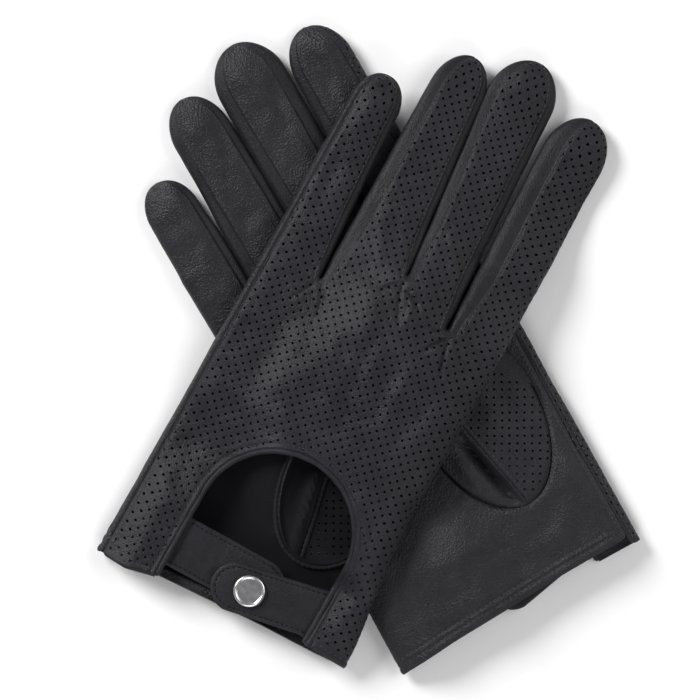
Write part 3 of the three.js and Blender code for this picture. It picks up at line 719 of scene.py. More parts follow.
def drape(x, y):
    """How high the left glove's palm lies over the floor: on the other glove, and over both thumbs."""
    under_x, under_y = seen_from_right(x, y)
    crossed = under_x - LITTLE_EDGE
    over_hand = smooth(crossed, -30, 6) * (1 - smooth(crossed, 96, 150))
    thumbs = thumb_bump(LEFT, x, y) + thumb_bump(RIGHT, under_x, under_y)
    draped = (thickness(under_x, under_y) + CROSSING_GAP) * over_hand + THUMB_LIFT * thumbs
    at_strap = (1 - smooth(y, 25, 36)) * (1 - smooth(x, 35, 50)) * smooth(x, -52, -38)
    return mix(draped, STRAP_LIFT, at_strap)


def world(glove, points, rigid=False):
    """Points of a glove's own frame, in the row frame, in metres."""
    x, y, z = np.asarray(points, float).T
    if glove.back_up:
        z = z + (glove.strap_rise if rigid else thickness(x, y) + drape(x, y))
    else:
        z = -z
    x, y = turned(x, y, glove.turn)
    return np.column_stack([x + glove.origin[0], y + glove.origin[1], z]) * MM


def add(name, glove, points, faces, materials, flags=None, rigid=False, sharp=50):
    """A new mesh object from a glove's own frame, with its faces' materials by flag."""
    mesh = bpy.data.meshes.new(name)
    turn_over = not glove.back_up
    faces = [f[::-1] for f in faces] if turn_over else faces
    mesh.from_pydata(world(glove, points, rigid).tolist(), [], faces)
    for m in materials:
        mesh.materials.append(m)
    if flags is not None:
        mesh.polygons.foreach_set("material_index", np.asarray(flags, np.int32))
    mesh.shade_smooth()
    mesh.set_sharp_from_angle(angle=math.radians(sharp))
    mesh.update()
    obj = bpy.data.objects.new(name, mesh)
    bpy.context.scene.collection.objects.link(obj)
    return obj


def tube(path, radius, sides=12, normals=None, squash_by=1.0):
    """A tube with round ends along a path. Returns points and faces."""
    path = np.asarray(path, float)
    ahead = unit(np.gradient(path, axis=0))
    up = np.tile([0.0, 0, 1], (len(path), 1)) if normals is None else normals
    side = unit(np.cross(ahead, up))
    top = np.cross(side, ahead)
    radii = np.broadcast_to(np.asarray(radius, float), (len(path),)).copy()
    radii[[0, -1]] *= 0.3
    a = np.arange(sides) * 2 * math.pi / sides
    ring = side[:, None] * np.cos(a)[None, :, None] + squash_by * top[:, None] * np.sin(a)[None, :, None]
    points = (path[:, None] + ring * radii[:, None, None]).reshape(-1, 3)
    quads = grid_faces(len(path), sides, True)
    first, last = list(range(sides)), [len(points) - sides + k for k in range(sides)]
    return points, [f[::-1] for f in quads.tolist()] + [first, last[::-1]]


def join(shapes):
    points, faces, start = [], [], 0
    for p, f in shapes:
        points.append(p)
        faces += [[i + start for i in face] for face in f]
        start += len(p)
    return np.concatenate(points), faces


STITCH_SIDES = 6


def stitches(path, normals, length=1.5, gap=0.6, radius=0.2, sink=0.03):
    """A row of stitches along a path on the leather: each a short thread whose two ends dive in."""
    steps = np.concatenate([[0], np.cumsum(np.linalg.norm(np.diff(path, axis=0), axis=1))])
    count = int((steps[-1] - gap) / (length + gap))
    if count < 1:
        return None
    centres = (np.arange(count) + 0.5) * steps[-1] / count
    along = np.array([-0.5, -0.42, -0.2, 0.2, 0.42, 0.5]) * length
    rise = np.array([-0.32, -0.02, 0.1, 0.1, -0.02, -0.32]) - sink
    width = np.array([0.6, 0.9, 1, 1, 0.9, 0.6]) * radius
    at = centres[:, None] + along[None]
    place = np.stack([np.interp(at, steps, path[:, k]) for k in range(3)], -1)
    up = unit(np.stack([np.interp(at, steps, normals[:, k]) for k in range(3)], -1))
    ahead = unit(np.gradient(place, axis=1))
    side = unit(np.cross(ahead, up))
    a = np.arange(STITCH_SIDES) * 2 * math.pi / STITCH_SIDES
    ring = side[:, :, None] * np.cos(a)[:, None] + up[:, :, None] * np.sin(a)[:, None]
    points = place[:, :, None] + up[:, :, None] * rise[None, :, None, None]
    points = points + ring * width[None, :, None, None]
    quads = grid_faces(len(along), STITCH_SIDES, True)
    n = len(along) * STITCH_SIDES
    one = [f[::-1] for f in quads.tolist()]
    one += [list(range(STITCH_SIDES)), [n - 1 - k for k in range(STITCH_SIDES)]]
    faces = [[i + k * n for i in f] for k in range(count) for f in one]
    return points.reshape(-1, 3), faces


# ---- materials ----


def node(tree, kind, **values):
    made = tree.nodes.new(kind)
    for name, value in values.items():
        if name in made.inputs:
            made.inputs[name].default_value = value
        else:
            setattr(made, name, value)
    return made


def principled(name, **values):
    material = bpy.data.materials.new(name)
    material.use_nodes = True
    shader = material.node_tree.nodes["Principled BSDF"]
    for socket, value in values.items():
        shader.inputs[socket.replace("_", " ")].default_value = value
    return material, material.node_tree, shader


def ramp(tree, source, low, high, at=(0.3, 0.7)):
    made = tree.nodes.new("ShaderNodeMapRange")
    for name, value in zip(("From Min", "From Max", "To Min", "To Max"), (*at, low, high)):
        made.inputs[name].default_value = value
    tree.links.new(source, made.inputs["Value"])
    return made.outputs["Result"]


def combine(tree, a, b, weight=1.0):
    scaled = node(tree, "ShaderNodeMath", operation="MULTIPLY")
    scaled.inputs[1].default_value = weight
    tree.links.new(b, scaled.inputs[0])
    made = node(tree, "ShaderNodeMath", operation="ADD")
    tree.links.new(a, made.inputs[0])
    tree.links.new(scaled.outputs[0], made.inputs[1])
    return made.outputs[0]


def tinted(tree, shader, source, dark, light):
    """The base colour between two shades, by a source from 0 to 1."""
    made = node(tree, "ShaderNodeMix", data_type="RGBA")
    made.inputs["A"].default_value = made.inputs[6].default_value = (*dark, 1)
    made.inputs[7].default_value = (*light, 1)
    tree.links.new(source, made.inputs[0])
    tree.links.new(made.outputs[2], shader.inputs["Base Color"])


def leather(name, dark, light, roughness, grain=1800.0, strength=0.55, gloss=0.25):
    """Dyed nappa: fine pebbled grain, faint stretch lines, uneven dye and sheen, and ridges painted paler, partly as
    wear and partly as a painted highlight.
    """
    material, tree, shader = principled(
        name, Specular_IOR_Level=gloss, Sheen_Weight=0.02, Sheen_Roughness=0.4
    )
    place = tree.nodes.new("ShaderNodeTexCoord").outputs["Object"]
    cells = node(
        tree, "ShaderNodeTexVoronoi", Scale=grain, Randomness=1.0, feature="SMOOTH_F1", Smoothness=0.5
    )
    pores = node(tree, "ShaderNodeTexNoise", Scale=grain * 2.1, Detail=3.0, Roughness=0.6)
    lines = node(tree, "ShaderNodeTexNoise", Scale=300.0, Detail=6.0, Roughness=0.66, Distortion=0.5)
    clouds = node(tree, "ShaderNodeTexNoise", Scale=38.0, Detail=4.0, Roughness=0.55)
    for texture in (cells, pores, lines, clouds):
        tree.links.new(place, texture.inputs["Vector"])
    height = combine(tree, cells.outputs["Distance"], pores.outputs["Fac"], weight=0.55)
    height = combine(tree, height, lines.outputs["Fac"], weight=1.1)
    bump = node(tree, "ShaderNodeBump", Strength=strength, Distance=0.0003)
    tree.links.new(height, bump.inputs["Height"])
    tree.links.new(bump.outputs["Normal"], shader.inputs["Normal"])
    # Paler on sharp convex edges: partly edge wear, partly a painted highlight along the ridges.
    wear_and_ridge_highlight = ramp(tree, tree.nodes.new("ShaderNodeNewGeometry").outputs["Pointiness"], 0.0, 0.55, (0.5, 0.62))
    shade = combine(tree, ramp(tree, clouds.outputs["Fac"], 0.0, 0.8), wear_and_ridge_highlight)
    shade = combine(tree, shade, ramp(tree, pores.outputs["Fac"], -0.2, 0.2))
    shade = combine(tree, shade, ramp(tree, lines.outputs["Fac"], -0.25, 0.3))
    tinted(tree, shader, shade, dark, light)
    gloss_marks = combine(tree, clouds.outputs["Fac"], lines.outputs["Fac"], weight=0.5)
    tree.links.new(ramp(tree, gloss_marks, *roughness, (0.45, 1.0)),
                   shader.inputs["Roughness"])
    return material


def suede(name, dark, light):
    """The flesh side of the leather: matt and napped; nearly black on the glove's inner faces, where that darkness
    is partly painted shade.
    """
    material, tree, shader = principled(
        name, Roughness=0.95, Specular_IOR_Level=0.12, Sheen_Weight=0.05, Sheen_Roughness=0.6
    )
    place = tree.nodes.new("ShaderNodeTexCoord").outputs["Object"]
    nap = node(tree, "ShaderNodeTexNoise", Scale=2600.0, Detail=5.0, Roughness=0.75)
    clouds = node(tree, "ShaderNodeTexNoise", Scale=90.0, Detail=4.0, Roughness=0.6)
    for texture in (nap, clouds):
        tree.links.new(place, texture.inputs["Vector"])
    bump = node(tree, "ShaderNodeBump", Strength=0.5, Distance=0.0002)
    tree.links.new(nap.outputs["Fac"], bump.inputs["Height"])
    tree.links.new(bump.outputs["Normal"], shader.inputs["Normal"])
    tinted(tree, shader, ramp(
        tree, combine(tree, clouds.outputs["Fac"], nap.outputs["Fac"], weight=0.5), 0.0, 1.0, (0.45, 1.0)
    ), dark, light)
    return material


def thread(name, dark, light, gloss=0.45):
    """Twisted sewing thread."""
    material, tree, shader = principled(name, Roughness=0.5, Specular_IOR_Level=gloss, Sheen_Weight=gloss / 3)
    place = tree.nodes.new("ShaderNodeTexCoord").outputs["Object"]
    twist = node(tree, "ShaderNodeTexWave", Scale=700.0, Distortion=1.5, bands_direction="DIAGONAL")
    tree.links.new(place, twist.inputs["Vector"])
    bump = node(tree, "ShaderNodeBump", Strength=0.4, Distance=0.0001)
    tree.links.new(twist.outputs["Fac"], bump.inputs["Height"])
    tree.links.new(bump.outputs["Normal"], shader.inputs["Normal"])
    tinted(tree, shader, twist.outputs["Fac"], dark, light)
    return material


def metal(name, colour, roughness, grain, strength):
    """Nickel-plated brass: fine turning marks and a little uneven gloss."""
    material, tree, shader = principled(name, Metallic=1.0)
    place = tree.nodes.new("ShaderNodeTexCoord").outputs["Object"]
    marks = node(tree, "ShaderNodeTexNoise", Scale=grain, Detail=6.0, Roughness=0.7)
    smear = node(tree, "ShaderNodeTexNoise", Scale=420.0, Detail=3.0)
    for texture in (marks, smear):
        tree.links.new(place, texture.inputs["Vector"])
    bump = node(tree, "ShaderNodeBump", Strength=strength, Distance=0.00003)
    tree.links.new(marks.outputs["Fac"], bump.inputs["Height"])
    tree.links.new(bump.outputs["Normal"], shader.inputs["Normal"])
    tree.links.new(
        ramp(tree, smear.outputs["Fac"], roughness * 0.8, roughness * 1.25), shader.inputs["Roughness"]
    )
    tinted(tree, shader, ramp(tree, smear.outputs["Fac"], 0.0, 1.0), tuple(0.93 * c for c in colour), colour)
    return material


BACK_LEATHER = leather("perforated_leather", (0.007, 0.0068, 0.0098), (0.0165, 0.0161, 0.0215), (0.38, 0.52))
PALM_LEATHER = leather(
    "smooth_leather", (0.0072, 0.007, 0.0098), (0.0148, 0.0145, 0.0192), (0.34, 0.47), grain=1350.0,
    strength=0.85, gloss=0.3
)
# The side walls between the fingers: a darker copy of the leather, painted shade of the valleys between the fingers.
WALL_LEATHER_PAINTED_SHADE = leather(
    "side_wall_leather", (0.0062, 0.006, 0.0084), (0.0135, 0.0132, 0.0175), (0.38, 0.52), grain=1900.0
)
TRIM_LEATHER = leather(
    "trim_leather", (0.0075, 0.0073, 0.0103), (0.0155, 0.0152, 0.02), (0.4, 0.54), grain=2000.0
)
# The glove's inner faces: a dark flesh side, painted darker still as the shade inside the glove, seen through the
# holes and the keyhole.
FLESH_SIDE_PAINTED_SHADE = suede("leather_flesh_side", (0.0018, 0.0017, 0.0026), (0.0046, 0.0044, 0.0062))
SEAM_EDGES = suede("seam_edges_inside", (0.006, 0.0058, 0.008), (0.014, 0.0137, 0.0175))
THREAD = thread("sewing_thread", (0.014, 0.0138, 0.0178), (0.033, 0.0325, 0.039))
# The strap stitches: the same thread painted near black, as painted shade in their deep stitch holes.
STRAP_THREAD_PAINTED_SHADE = thread("strap_thread_painted_shade", (0.0012, 0.0012, 0.0016), (0.003, 0.003, 0.0038), gloss=0.12)
POLISHED = metal("snap_metal_polished", (0.82, 0.82, 0.83), 0.25, 900.0, 0.06)
SATIN = metal("snap_metal_satin", (0.6, 0.6, 0.615), 0.27, 5200.0, 0.25)


# ---- panels ----


def finish_piece(obj, body, nodes=()):
    if isinstance(body, tuple):
        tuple(body[2])
        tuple(body[3])
        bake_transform(obj)
    else:
        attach(obj, body)
    if nodes:
        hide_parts(*nodes)
    return obj


def perforation(panel):
    """Middles of the round holes in a back panel: a square lattice that stops short of seams, hems and the band."""
    outline = panel.outline
    holes = lattice_points(outline.min(0), outline.max(0), HOLE_PITCH, panel.glove.lattice)
    holes = holes + 0.25 * np.column_stack(
        [waves(holes[:, 0], holes[:, 1], 70, 5), waves(holes[:, 0], holes[:, 1], 70, 6)]
    )
    holes = holes[inside(holes, outline)]
    holes = holes[distance(holes, densify(outline, 1.0), True) > HOLE_RADIUS + 0.7]
    cuff = np.array(panel.glove.cuffs[1], float)
    holes = holes[holes[:, 1] - np.interp(holes[:, 0], cuff[:, 0], cuff[:, 1]) > HEM_PLAIN]
    kx, ky, radius = KEYHOLE
    beyond = np.hypot(holes[:, 0] - kx, np.maximum(holes[:, 1] - ky, 0)) - radius
    return holes[beyond > BAND + 0.1]


def turn_in(flags, flat, tris, height):
    """Give the inner faces near the cuff's edge the outer leather, which is turned in there."""
    near_cuff = np.tile(flat[tris].mean(1)[:, 1] < height, 2)
    flags[: len(near_cuff)][near_cuff] = 0
    return flags


def make_back(glove):
    panel = Panel(glove, 1)
    holes = perforation(panel)
    fine = [(web_gap(glove, 1, i)[0], CROTCHES[i] - 4, 13, 0.7) for i in range(3)] if glove.back_up else []
    flat, tris = fill(panel.outline, pitch=1.44, holes=holes, fine=fine)
    outer, normal = panel.surface(flat)
    rim = nearest(flat, holes) < HOLE_RADIUS + 0.02
    outer = outer - normal * (0.1 * rim)[:, None]
    points, faces, flags = thicken(outer, tris, LEATHER)
    flags = turn_in(flags, flat, tris, HEM_PLAIN)
    obj = add(glove.name + "_back", glove, points, faces, [BACK_LEATHER, FLESH_SIDE_PAINTED_SHADE], flags)
    finish_piece(obj, glove.body, [glove.name + "_back_panel"])
    return panel


def make_palm(glove):
    panel = Panel(glove, -1)
    fine = [(-45 + 9 * i, 3.5, 6, 0.6) for i in range(11)]
    flat, tris = fill(panel.outline, cuts=[panel.thumb_hole], pitch=1.4, fine=fine)
    outer, _ = panel.surface(flat)
    points, faces, flags = thicken(outer, tris[:, ::-1], LEATHER)
    flags = turn_in(flags, flat, tris, HEM_STITCHES[-1][1])
    obj = add(glove.name + "_palm", glove, points, faces, [PALM_LEATHER, FLESH_SIDE_PAINTED_SHADE], flags)
    finish_piece(obj, glove.body, [glove.name + "_palm_panel"])
    return panel


# ---- fourchettes ----

UNDERLAP = 0.8  # how far a side wall runs on under the panels' edges


def wall(glove, finger, side, crotch, v, share):
    """A point of a finger's side wall: share 0 is under the back panel's edge, 1 under the palm panel's."""
    edge = (side + 1) // 2
    left, right, angle, blend, y = finger_frame(glove, np.full(v.shape, finger), v, edge)
    half_width, middle = (right - left) / 2, (left + right) / 2
    roll = FINGER_ROLL * half_width
    phis, factors = [], []
    for insets in (BACK_INSETS, PALM_INSETS):
        inset = inner_inset(insets[finger][edge], v - crotch)
        at_seam = np.sqrt(1 - (1 - inset / roll) ** 2)
        phis.append(np.arccos(1 - (inset + UNDERLAP) / roll))
        factors.append(mix(1, at_seam, blend) / at_seam)
    phi = mix(phis[0], -phis[1], share)
    rise = np.sin(phi) * np.where(phi > 0, factors[0], factors[1])
    rise = np.clip(rise, -1, 1) * np.cos(angle)
    x = middle + side * (half_width - roll * (1 - np.cos(phi))) * np.cos(angle)
    return np.stack([x, y, -thickness(x, y) / 2 * (1 - rise)], -1)


def make_fourchette(glove, index, names):
    share = np.linspace(0, 1, 17)
    crotch = CROTCHES[index]
    sides = []
    for finger, side in ((index, 1), (index + 1, -1)):
        reach = TIP_LENGTHS[finger]
        straight = glove.tips[finger] - reach
        low = crotch + WEB
        v = np.concatenate([
            np.linspace(low, straight, 62),
            straight + reach * TIP_LENGTH * np.linspace(0.04, TIP_END / (math.pi / 2), 22)
        ])
        vv, ss = np.meshgrid(v, share, indexing="ij")
        sides.append(wall(glove, finger, side, crotch, vv, ss))
    first, second = sides[0][0], sides[1][0]
    gap = np.abs(second[:, 0] - first[:, 0]) / 2
    deepest = np.where(share < 0.5, web_gap(glove, 1, index)[1], web_gap(glove, -1, index)[1])
    depth = WEB * np.clip(gap / deepest, 0.12, 1.2)
    turn = np.linspace(0, math.pi, 11)[1:-1]
    web = np.stack([mix(
        first, second, (1 - math.cos(a)) / 2
    ) - np.array([0, 1, 0]) * (depth * math.sin(a))[:, None] for a in turn])
    rows = np.concatenate([sides[0][::-1], web, sides[1]])
    points = rows.reshape(-1, 3)
    tris = triangles(grid_faces(len(rows), len(share)))
    normals = vertex_normals(points, tris)
    if normals.reshape(rows.shape)[20, 8, 0] < 0:
        tris, normals = tris[:, ::-1], -normals
    from_edge = np.tile(np.minimum(share, 1 - share), len(rows))
    above = points[:, 1] - crotch
    away = smooth(from_edge, 0.06, 0.26)
    swell = WALL_SWELL[glove.name][index] * smooth(above, 5, 34) * (1 - smooth(above, 50, 78))
    swell += 0.34 * (1 - smooth(above, 10, 34)) + 0.3 * waves(
        points[:, 0] * 2, points[:, 2], 5, 37 + index
    ) * (1 - smooth(above, 3, 12))
    sunk = -0.42 * (1 - away) + away * swell + 0.1 * waves(points[:, 1], points[:, 2] * 3, 16, 31 + index)
    points = points + normals * sunk[:, None]
    points, faces, flags = thicken(points, tris, LEATHER)
    obj = add(f"{glove.name}_side_wall_{names}", glove, points, faces, [WALL_LEATHER_PAINTED_SHADE, FLESH_SIDE_PAINTED_SHADE], flags)
    finish_piece(obj, glove.body, [f"{glove.name}_fourchette_{names}"])


# ---- thumbs ----

THUMB_SCALE = np.array([62.0, 24.0])  # millimetres of leather to a unit along and to a radian round
THUMB_FOLDS = [(6, 60, 9, 42, 3.0, 0.4), (30, 60, 24, 90, 4.0, 0.6), (34, 45, 37, 75, 3.0, -0.5)]


def thumb_point(glove, along, around):
    """A point of the thumb: along is 0 at its base, 1 at its neck and 2 at its tip; around is pi / 2 on top."""
    sx, sy = glove.thumb_shift
    hole_x, hole_y, half_width, half_length = THUMB_HOLE
    x_base = hole_x + (half_width - THUMB_INSET) * np.cos(around)
    y_base = hole_y - (half_length - THUMB_INSET) * np.sin(around)
    z_base = -thickness(x_base + sx, y_base + sy) + 1.1
    neck_x, neck_y, neck_half, slant = THUMB_NECK
    angle = np.clip(along - 1, 0, 1) * TIP_END
    shrink, reach = np.cos(angle), np.sin(angle)
    x = mix(neck_x, THUMB_TIP[0], reach) + neck_half * shrink * np.cos(around)
    y = mix(neck_y, THUMB_TIP[1], reach) - slant * np.sin(around) * (1 - reach)
    middle = -thickness(x, y) - THUMB_GAP - THUMB_THICKNESS / 2
    z = middle - THUMB_THICKNESS / 2 * shrink * np.sin(around)
    rise = np.clip(along, 0, 1)
    place = [
        mix(x_base, x, rise) + sx, mix(y_base, y, rise) + sy,
        mix(z_base, z, np.sqrt(np.sin(rise * math.pi / 2)))
    ]
    return np.stack(place, -1)


def thumb_surface(glove, flat, edge_relief):
    along, around = flat[:, 0] / THUMB_SCALE[0], flat[:, 1] / THUMB_SCALE[1]
    point = thumb_point(glove, along, around)
    h = 0.004
    da = thumb_point(glove, along + h, around) - thumb_point(glove, np.maximum(along - h, 0), around)
    dr = thumb_point(glove, along, around + h) - thumb_point(glove, along, around - h)
    normal = unit(np.cross(dr, da))
    normal[:, 2] = np.where(np.abs(normal[:, 2]) < 1e-6, -1e-6, normal[:, 2])
    outward = np.where(normal[:, 2] * np.sin(around) > 0, -1, 1)
    normal = normal * outward[:, None]
    ring = np.abs(around - math.pi / 2)
    girth = mix(THUMB_HOLE[2], THUMB_NECK[2], np.clip(along, 0, 1))
    top = smooth(np.sin(around), -0.1, 0.3)
    shift = np.array(glove.thumb_shift)
    relief = edge_relief(ring * girth, along) * top * smooth(along, 0.0, 0.06)
    relief += top * creases(point[:, 0] - shift[0], point[:, 1] - shift[1], THUMB_FOLDS)
    relief += 0.15 * waves(point[:, 0], point[:, 1], 17, 41) * smooth(along, 0.05, 0.3)
    relief += 0.5 * hump(flat[:, 0], 5, 3.5) * top - 0.35 * hump(flat[:, 0], 0, 1.2)
    return point + normal * relief[:, None], normal


def front_edge(s, along):
    """The rib beside the thumb's seam, and the deep valley that the folded leather leaves next to it."""
    valley = hump(along, 0.36, 0.3)
    return 0.55 * hump(s, 0.8, 0.55) - 0.35 * hump(s, 2.2, 0.6) + valley * (
        1.3 * hump(s, 10.5, 4) - 4.4 * hump(s, 4.0, 1.7)
    )


def back_edge(s, along):
    return -0.3 * hump(s, 0, 0.5) + (0.2 - 0.04 * along) * hump(s, 0.9, 0.4) - 0.24 * hump(s, 1.7, 0.4)


def thumb_holes(glove):
    """Middles and shapes of the holes on the thumb's back half, on its pattern."""
    along, around = np.meshgrid(
        np.linspace(0.01, 1.9, 240), np.linspace(0.02, math.pi / 2 - 0.02, 90), indexing="ij"
    )
    grid = np.column_stack([along.ravel(), around.ravel()])
    plan = thumb_point(glove, grid[:, 0], grid[:, 1])[:, :2]
    wanted = lattice_points(plan.min(0), plan.max(0), HOLE_PITCH * 1.02, -glove.turn)
    found = []
    for target in wanted:
        d = ((plan - target) ** 2).sum(1)
        k = int(d.argmin())
        if d[k] < 0.4:
            found.append(grid[k])
    found = np.array(found)
    middles = found * THUMB_SCALE
    h = 0.003
    shapes = []
    for a, r in found:
        da = (thumb_point(glove, a + h, r) - thumb_point(glove, a - h, r)) / (2 * h * THUMB_SCALE[0])
        dr = (thumb_point(glove, a, r + h) - thumb_point(glove, a, r - h)) / (2 * h * THUMB_SCALE[1])
        _, upper = np.linalg.qr(np.column_stack([da, dr]))
        shapes.append(np.linalg.inv(upper))
    girth = mix(THUMB_HOLE[2], THUMB_NECK[2], np.clip(found[:, 0], 0, 1))
    keep = (found[:, 0] > 0.035) & (found[:, 0] < 1.8) & (
        (math.pi / 2 - found[:, 1]) * girth > 1.9
    ) & (found[:, 1] > 0.06)
    return middles[keep], np.array(shapes)[keep]


def make_thumb(glove):
    ends = np.array([0, TIP_END / (math.pi / 2) + 1])
    for part, low, high in (("front", math.pi / 2, 3 * math.pi / 2), ("back", -math.pi / 2, math.pi / 2)):
        a, b = ends * THUMB_SCALE[0]
        c, d = np.array([low, high]) * THUMB_SCALE[1]
        outline = np.array([(a, c), (b, c), (b, d), (a, d)])
        if part == "back":
            holes, shapes = thumb_holes(glove)
            flat, tris = fill(outline, pitch=1.5, holes=holes, hole_shape=shapes)
            relief, looks = back_edge, BACK_LEATHER
        else:
            flat, tris = fill(outline, pitch=1.5)
            relief, looks = front_edge, PALM_LEATHER
        outer, normal = thumb_surface(glove, flat, relief)
        if (vertex_normals(outer, tris) * normal).sum() < 0:
            tris = tris[:, ::-1]
        points, faces, flags = thicken(outer, tris, LEATHER)
        obj = add(f"{glove.name}_thumb_{part}_leather", glove, points, faces, [looks, FLESH_SIDE_PAINTED_SHADE], flags)
        finish_piece(obj, glove.body, [f"{glove.name}_thumb_{part}"])


# ---- wrist cut-out: binding, straps and snap ----


def make_binding(glove):
    kx, ky, radius = KEYHOLE
    cuff = np.array(glove.cuffs[1], float)
    foot = lambda x: np.interp(x, cuff[:, 0], cuff[:, 1]) + 0.6
    arc = np.linspace(math.pi, 0, 110)
    arch = np.column_stack([kx + radius * np.cos(arc), ky + radius * np.sin(arc)])
    left = np.column_stack([np.full(40, kx - radius), np.linspace(foot(kx - radius), ky - 0.6, 40)])
    right = np.column_stack([np.full(40, kx + radius), np.linspace(ky - 0.6, foot(kx + radius), 40)])
    plan = np.concatenate([left, arch, right])
    z = -0.8 + 0.1 * waves(plan[:, 0], plan[:, 1], 20, 51)
    wobble = BINDING_RADIUS * (1 + 0.04 * waves(plan[:, 0], plan[:, 1], 7, 52))
    points, faces = tube(np.column_stack([plan, z]), wobble, sides=16, squash_by=0.9)
    obj = add(glove.name + "_binding", glove, points, faces, [TRIM_LEATHER], sharp=70)
    finish_piece(obj, glove.body, [glove.name + "_keyhole_binding"])


def strap_edge(d):
    edge = -0.42 * hump(d, 0, 0.38) + 0.14 * hump(d, 0.8, 0.5)
    return edge - 0.24 * hump(d, STRAP_STITCHES, 0.35) + 0.12 * smooth(d, 2, 6)


def half_circle(x, y, radius, way):
    a = np.linspace(math.pi / 2, -math.pi / 2, 40)
    return np.column_stack([x + way * radius * np.cos(a), y + radius * np.sin(a)])


def tab_outline(margin=0.0, end=ANCHOR_END):
    x, y, radius = TAB_ROUND
    slope = (TAB_HIGH - y - radius) / (TAB_HINGE[0] - x)
    high = TAB_HIGH + slope * (end - TAB_HINGE[0]) - margin
    arc = half_circle(x, y, radius - margin, -1)
    return np.concatenate([arc, [(TAB_HINGE[0], TAB_LOW + margin), (end, TAB_LOW + margin), (end, high)]])


def tab_height(x, y):
    near_snap = np.hypot(x - SNAP[0], y - SNAP[1])
    height = -STRAP_DEPTH + 1.0 * smooth(x, 35.3, 39) - 0.18 * hump(near_snap, 5.5, 2.2)
    return height + 0.07 * waves(x, y, 15, 61)


def stud_strap_height(x, y):
    crumpled = waves(x, 0.6 * y, 5, 63) * smooth(x, -29, -24) * (1 - smooth(x, -12, -6))
    under_back = 0.9 * (1 - smooth(x, -33.5, -29.6))
    height = -STRAP_DEPTH + under_back - STRAP_DROP * smooth(x, -24, -9)
    return height + 0.08 * waves(x, y, 14, 62) + 0.15 * crumpled


def plate(outline, height, amount, relief=strap_edge):
    flat, tris = fill(outline, pitch=1.1, rings=(0.2, 0.42, 0.7, 1.05, 1.4, 1.75, 2.1, 2.6))
    edge = distance(flat, densify(outline, 0.8), True)
    z = height(flat[:, 0], flat[:, 1]) + relief(edge)
    return thicken(np.column_stack([flat, z]), tris, amount)


def hinge_blend(glove):
    """The glove, the tab, and two points across the tab's leather beside its hinge."""
    ends = world(glove, [(33.5, TAB_HINGE[1], -STRAP_DEPTH), (27.0, TAB_HINGE[1], -STRAP_DEPTH)], rigid=True)
    return glove.body, glove.tab_body, tuple(ends[0]), tuple(ends[1])


def make_straps(glove):
    blend = hinge_blend(glove)
    looks = [TRIM_LEATHER, FLESH_SIDE_PAINTED_SHADE]
    points, faces, flags = plate(tab_outline(), tab_height, 0.8)
    obj = add(glove.name + "_tab", glove, points, faces, looks, flags, rigid=True)
    finish_piece(obj, blend, [glove.name + "_snap_tab", glove.name + "_tab_anchor"])

    under = lambda x, y: tab_height(x, y) - 1.0
    points, faces, _ = plate(tab_outline(0.5, 34.5), under, 0.6, lambda d: 0.15 * hump(d, 0, 0.4))
    obj = add(glove.name + "_tab_inner_leather", glove, points, faces, [TRIM_LEATHER], rigid=True)
    finish_piece(obj, blend, [glove.name + "_tab_lining"])

    x, y, radius = STRAP_ROUND
    outline = np.concatenate(
        [half_circle(x, y, radius, 1)[::-1], [(STRAP_START, y + radius), (STRAP_START, y - radius)]]
    )
    points, faces, flags = plate(outline, stud_strap_height, 0.9)
    obj = add(glove.name + "_strap", glove, points, faces, looks, flags, rigid=True)
    finish_piece(obj, glove.body, [glove.name + "_stud_strap"])

    inner = tab_outline(STRAP_STITCHES)
    path = densify(np.concatenate([inner[-1:], inner[:-1]]), 0.5, closed=False)
    place = np.column_stack(
        [path, tab_height(path[:, 0], path[:, 1]) + strap_edge(np.full(len(path), STRAP_STITCHES))]
    )
    sewn = stitches(place, np.tile([0.0, 0, 1], (len(place), 1)), length=1.3, gap=0.8, radius=0.27, sink=0.1)
    obj = add(glove.name + "_tab_stitching", glove, *sewn, [STRAP_THREAD_PAINTED_SHADE], rigid=True)
    finish_piece(obj, blend)

    arc = half_circle(x, y, radius - STRAP_STITCHES, 1)[::-1]
    path = np.concatenate(
        [[(-31.0, y - radius + STRAP_STITCHES)], arc, [(-31.0, y + radius - STRAP_STITCHES)]]
    )
    path = densify(path, 0.5, closed=False)
    place = np.column_stack(
        [path, stud_strap_height(path[:, 0], path[:, 1]) + strap_edge(np.full(len(path), STRAP_STITCHES))]
    )
    sewn = stitches(place, np.tile([0.0, 0, 1], (len(place), 1)), length=1.3, gap=0.8, radius=0.27, sink=0.1)
    obj = add(glove.name + "_strap_stitching", glove, *sewn, [STRAP_THREAD_PAINTED_SHADE], rigid=True)
    finish_piece(obj, glove.body)


def lathe(profile, sides=72):
    """A turned solid from (radius, height) points that starts and ends on the axis, lowest first."""
    profile = np.array(profile, float)
    a = np.arange(sides) * 2 * math.pi / sides
    middle = profile[1:-1]
    x = middle[:, 0, None] * np.cos(a)
    y = middle[:, 0, None] * np.sin(a)
    z = np.broadcast_to(middle[:, 1, None], x.shape)
    ends = np.array([[0, 0, profile[0, 1]], [0, 0, profile[-1, 1]]])
    points = np.concatenate([np.stack([x, y, z], -1).reshape(-1, 3), ends])
    faces = grid_faces(len(middle), sides, True).tolist()
    low, high = len(points) - 2, len(points) - 1
    top = (len(middle) - 1) * sides
    faces += [[low, (k + 1) % sides, k] for k in range(sides)]
    faces += [[high, top + k, top + (k + 1) % sides] for k in range(sides)]
    return points, faces


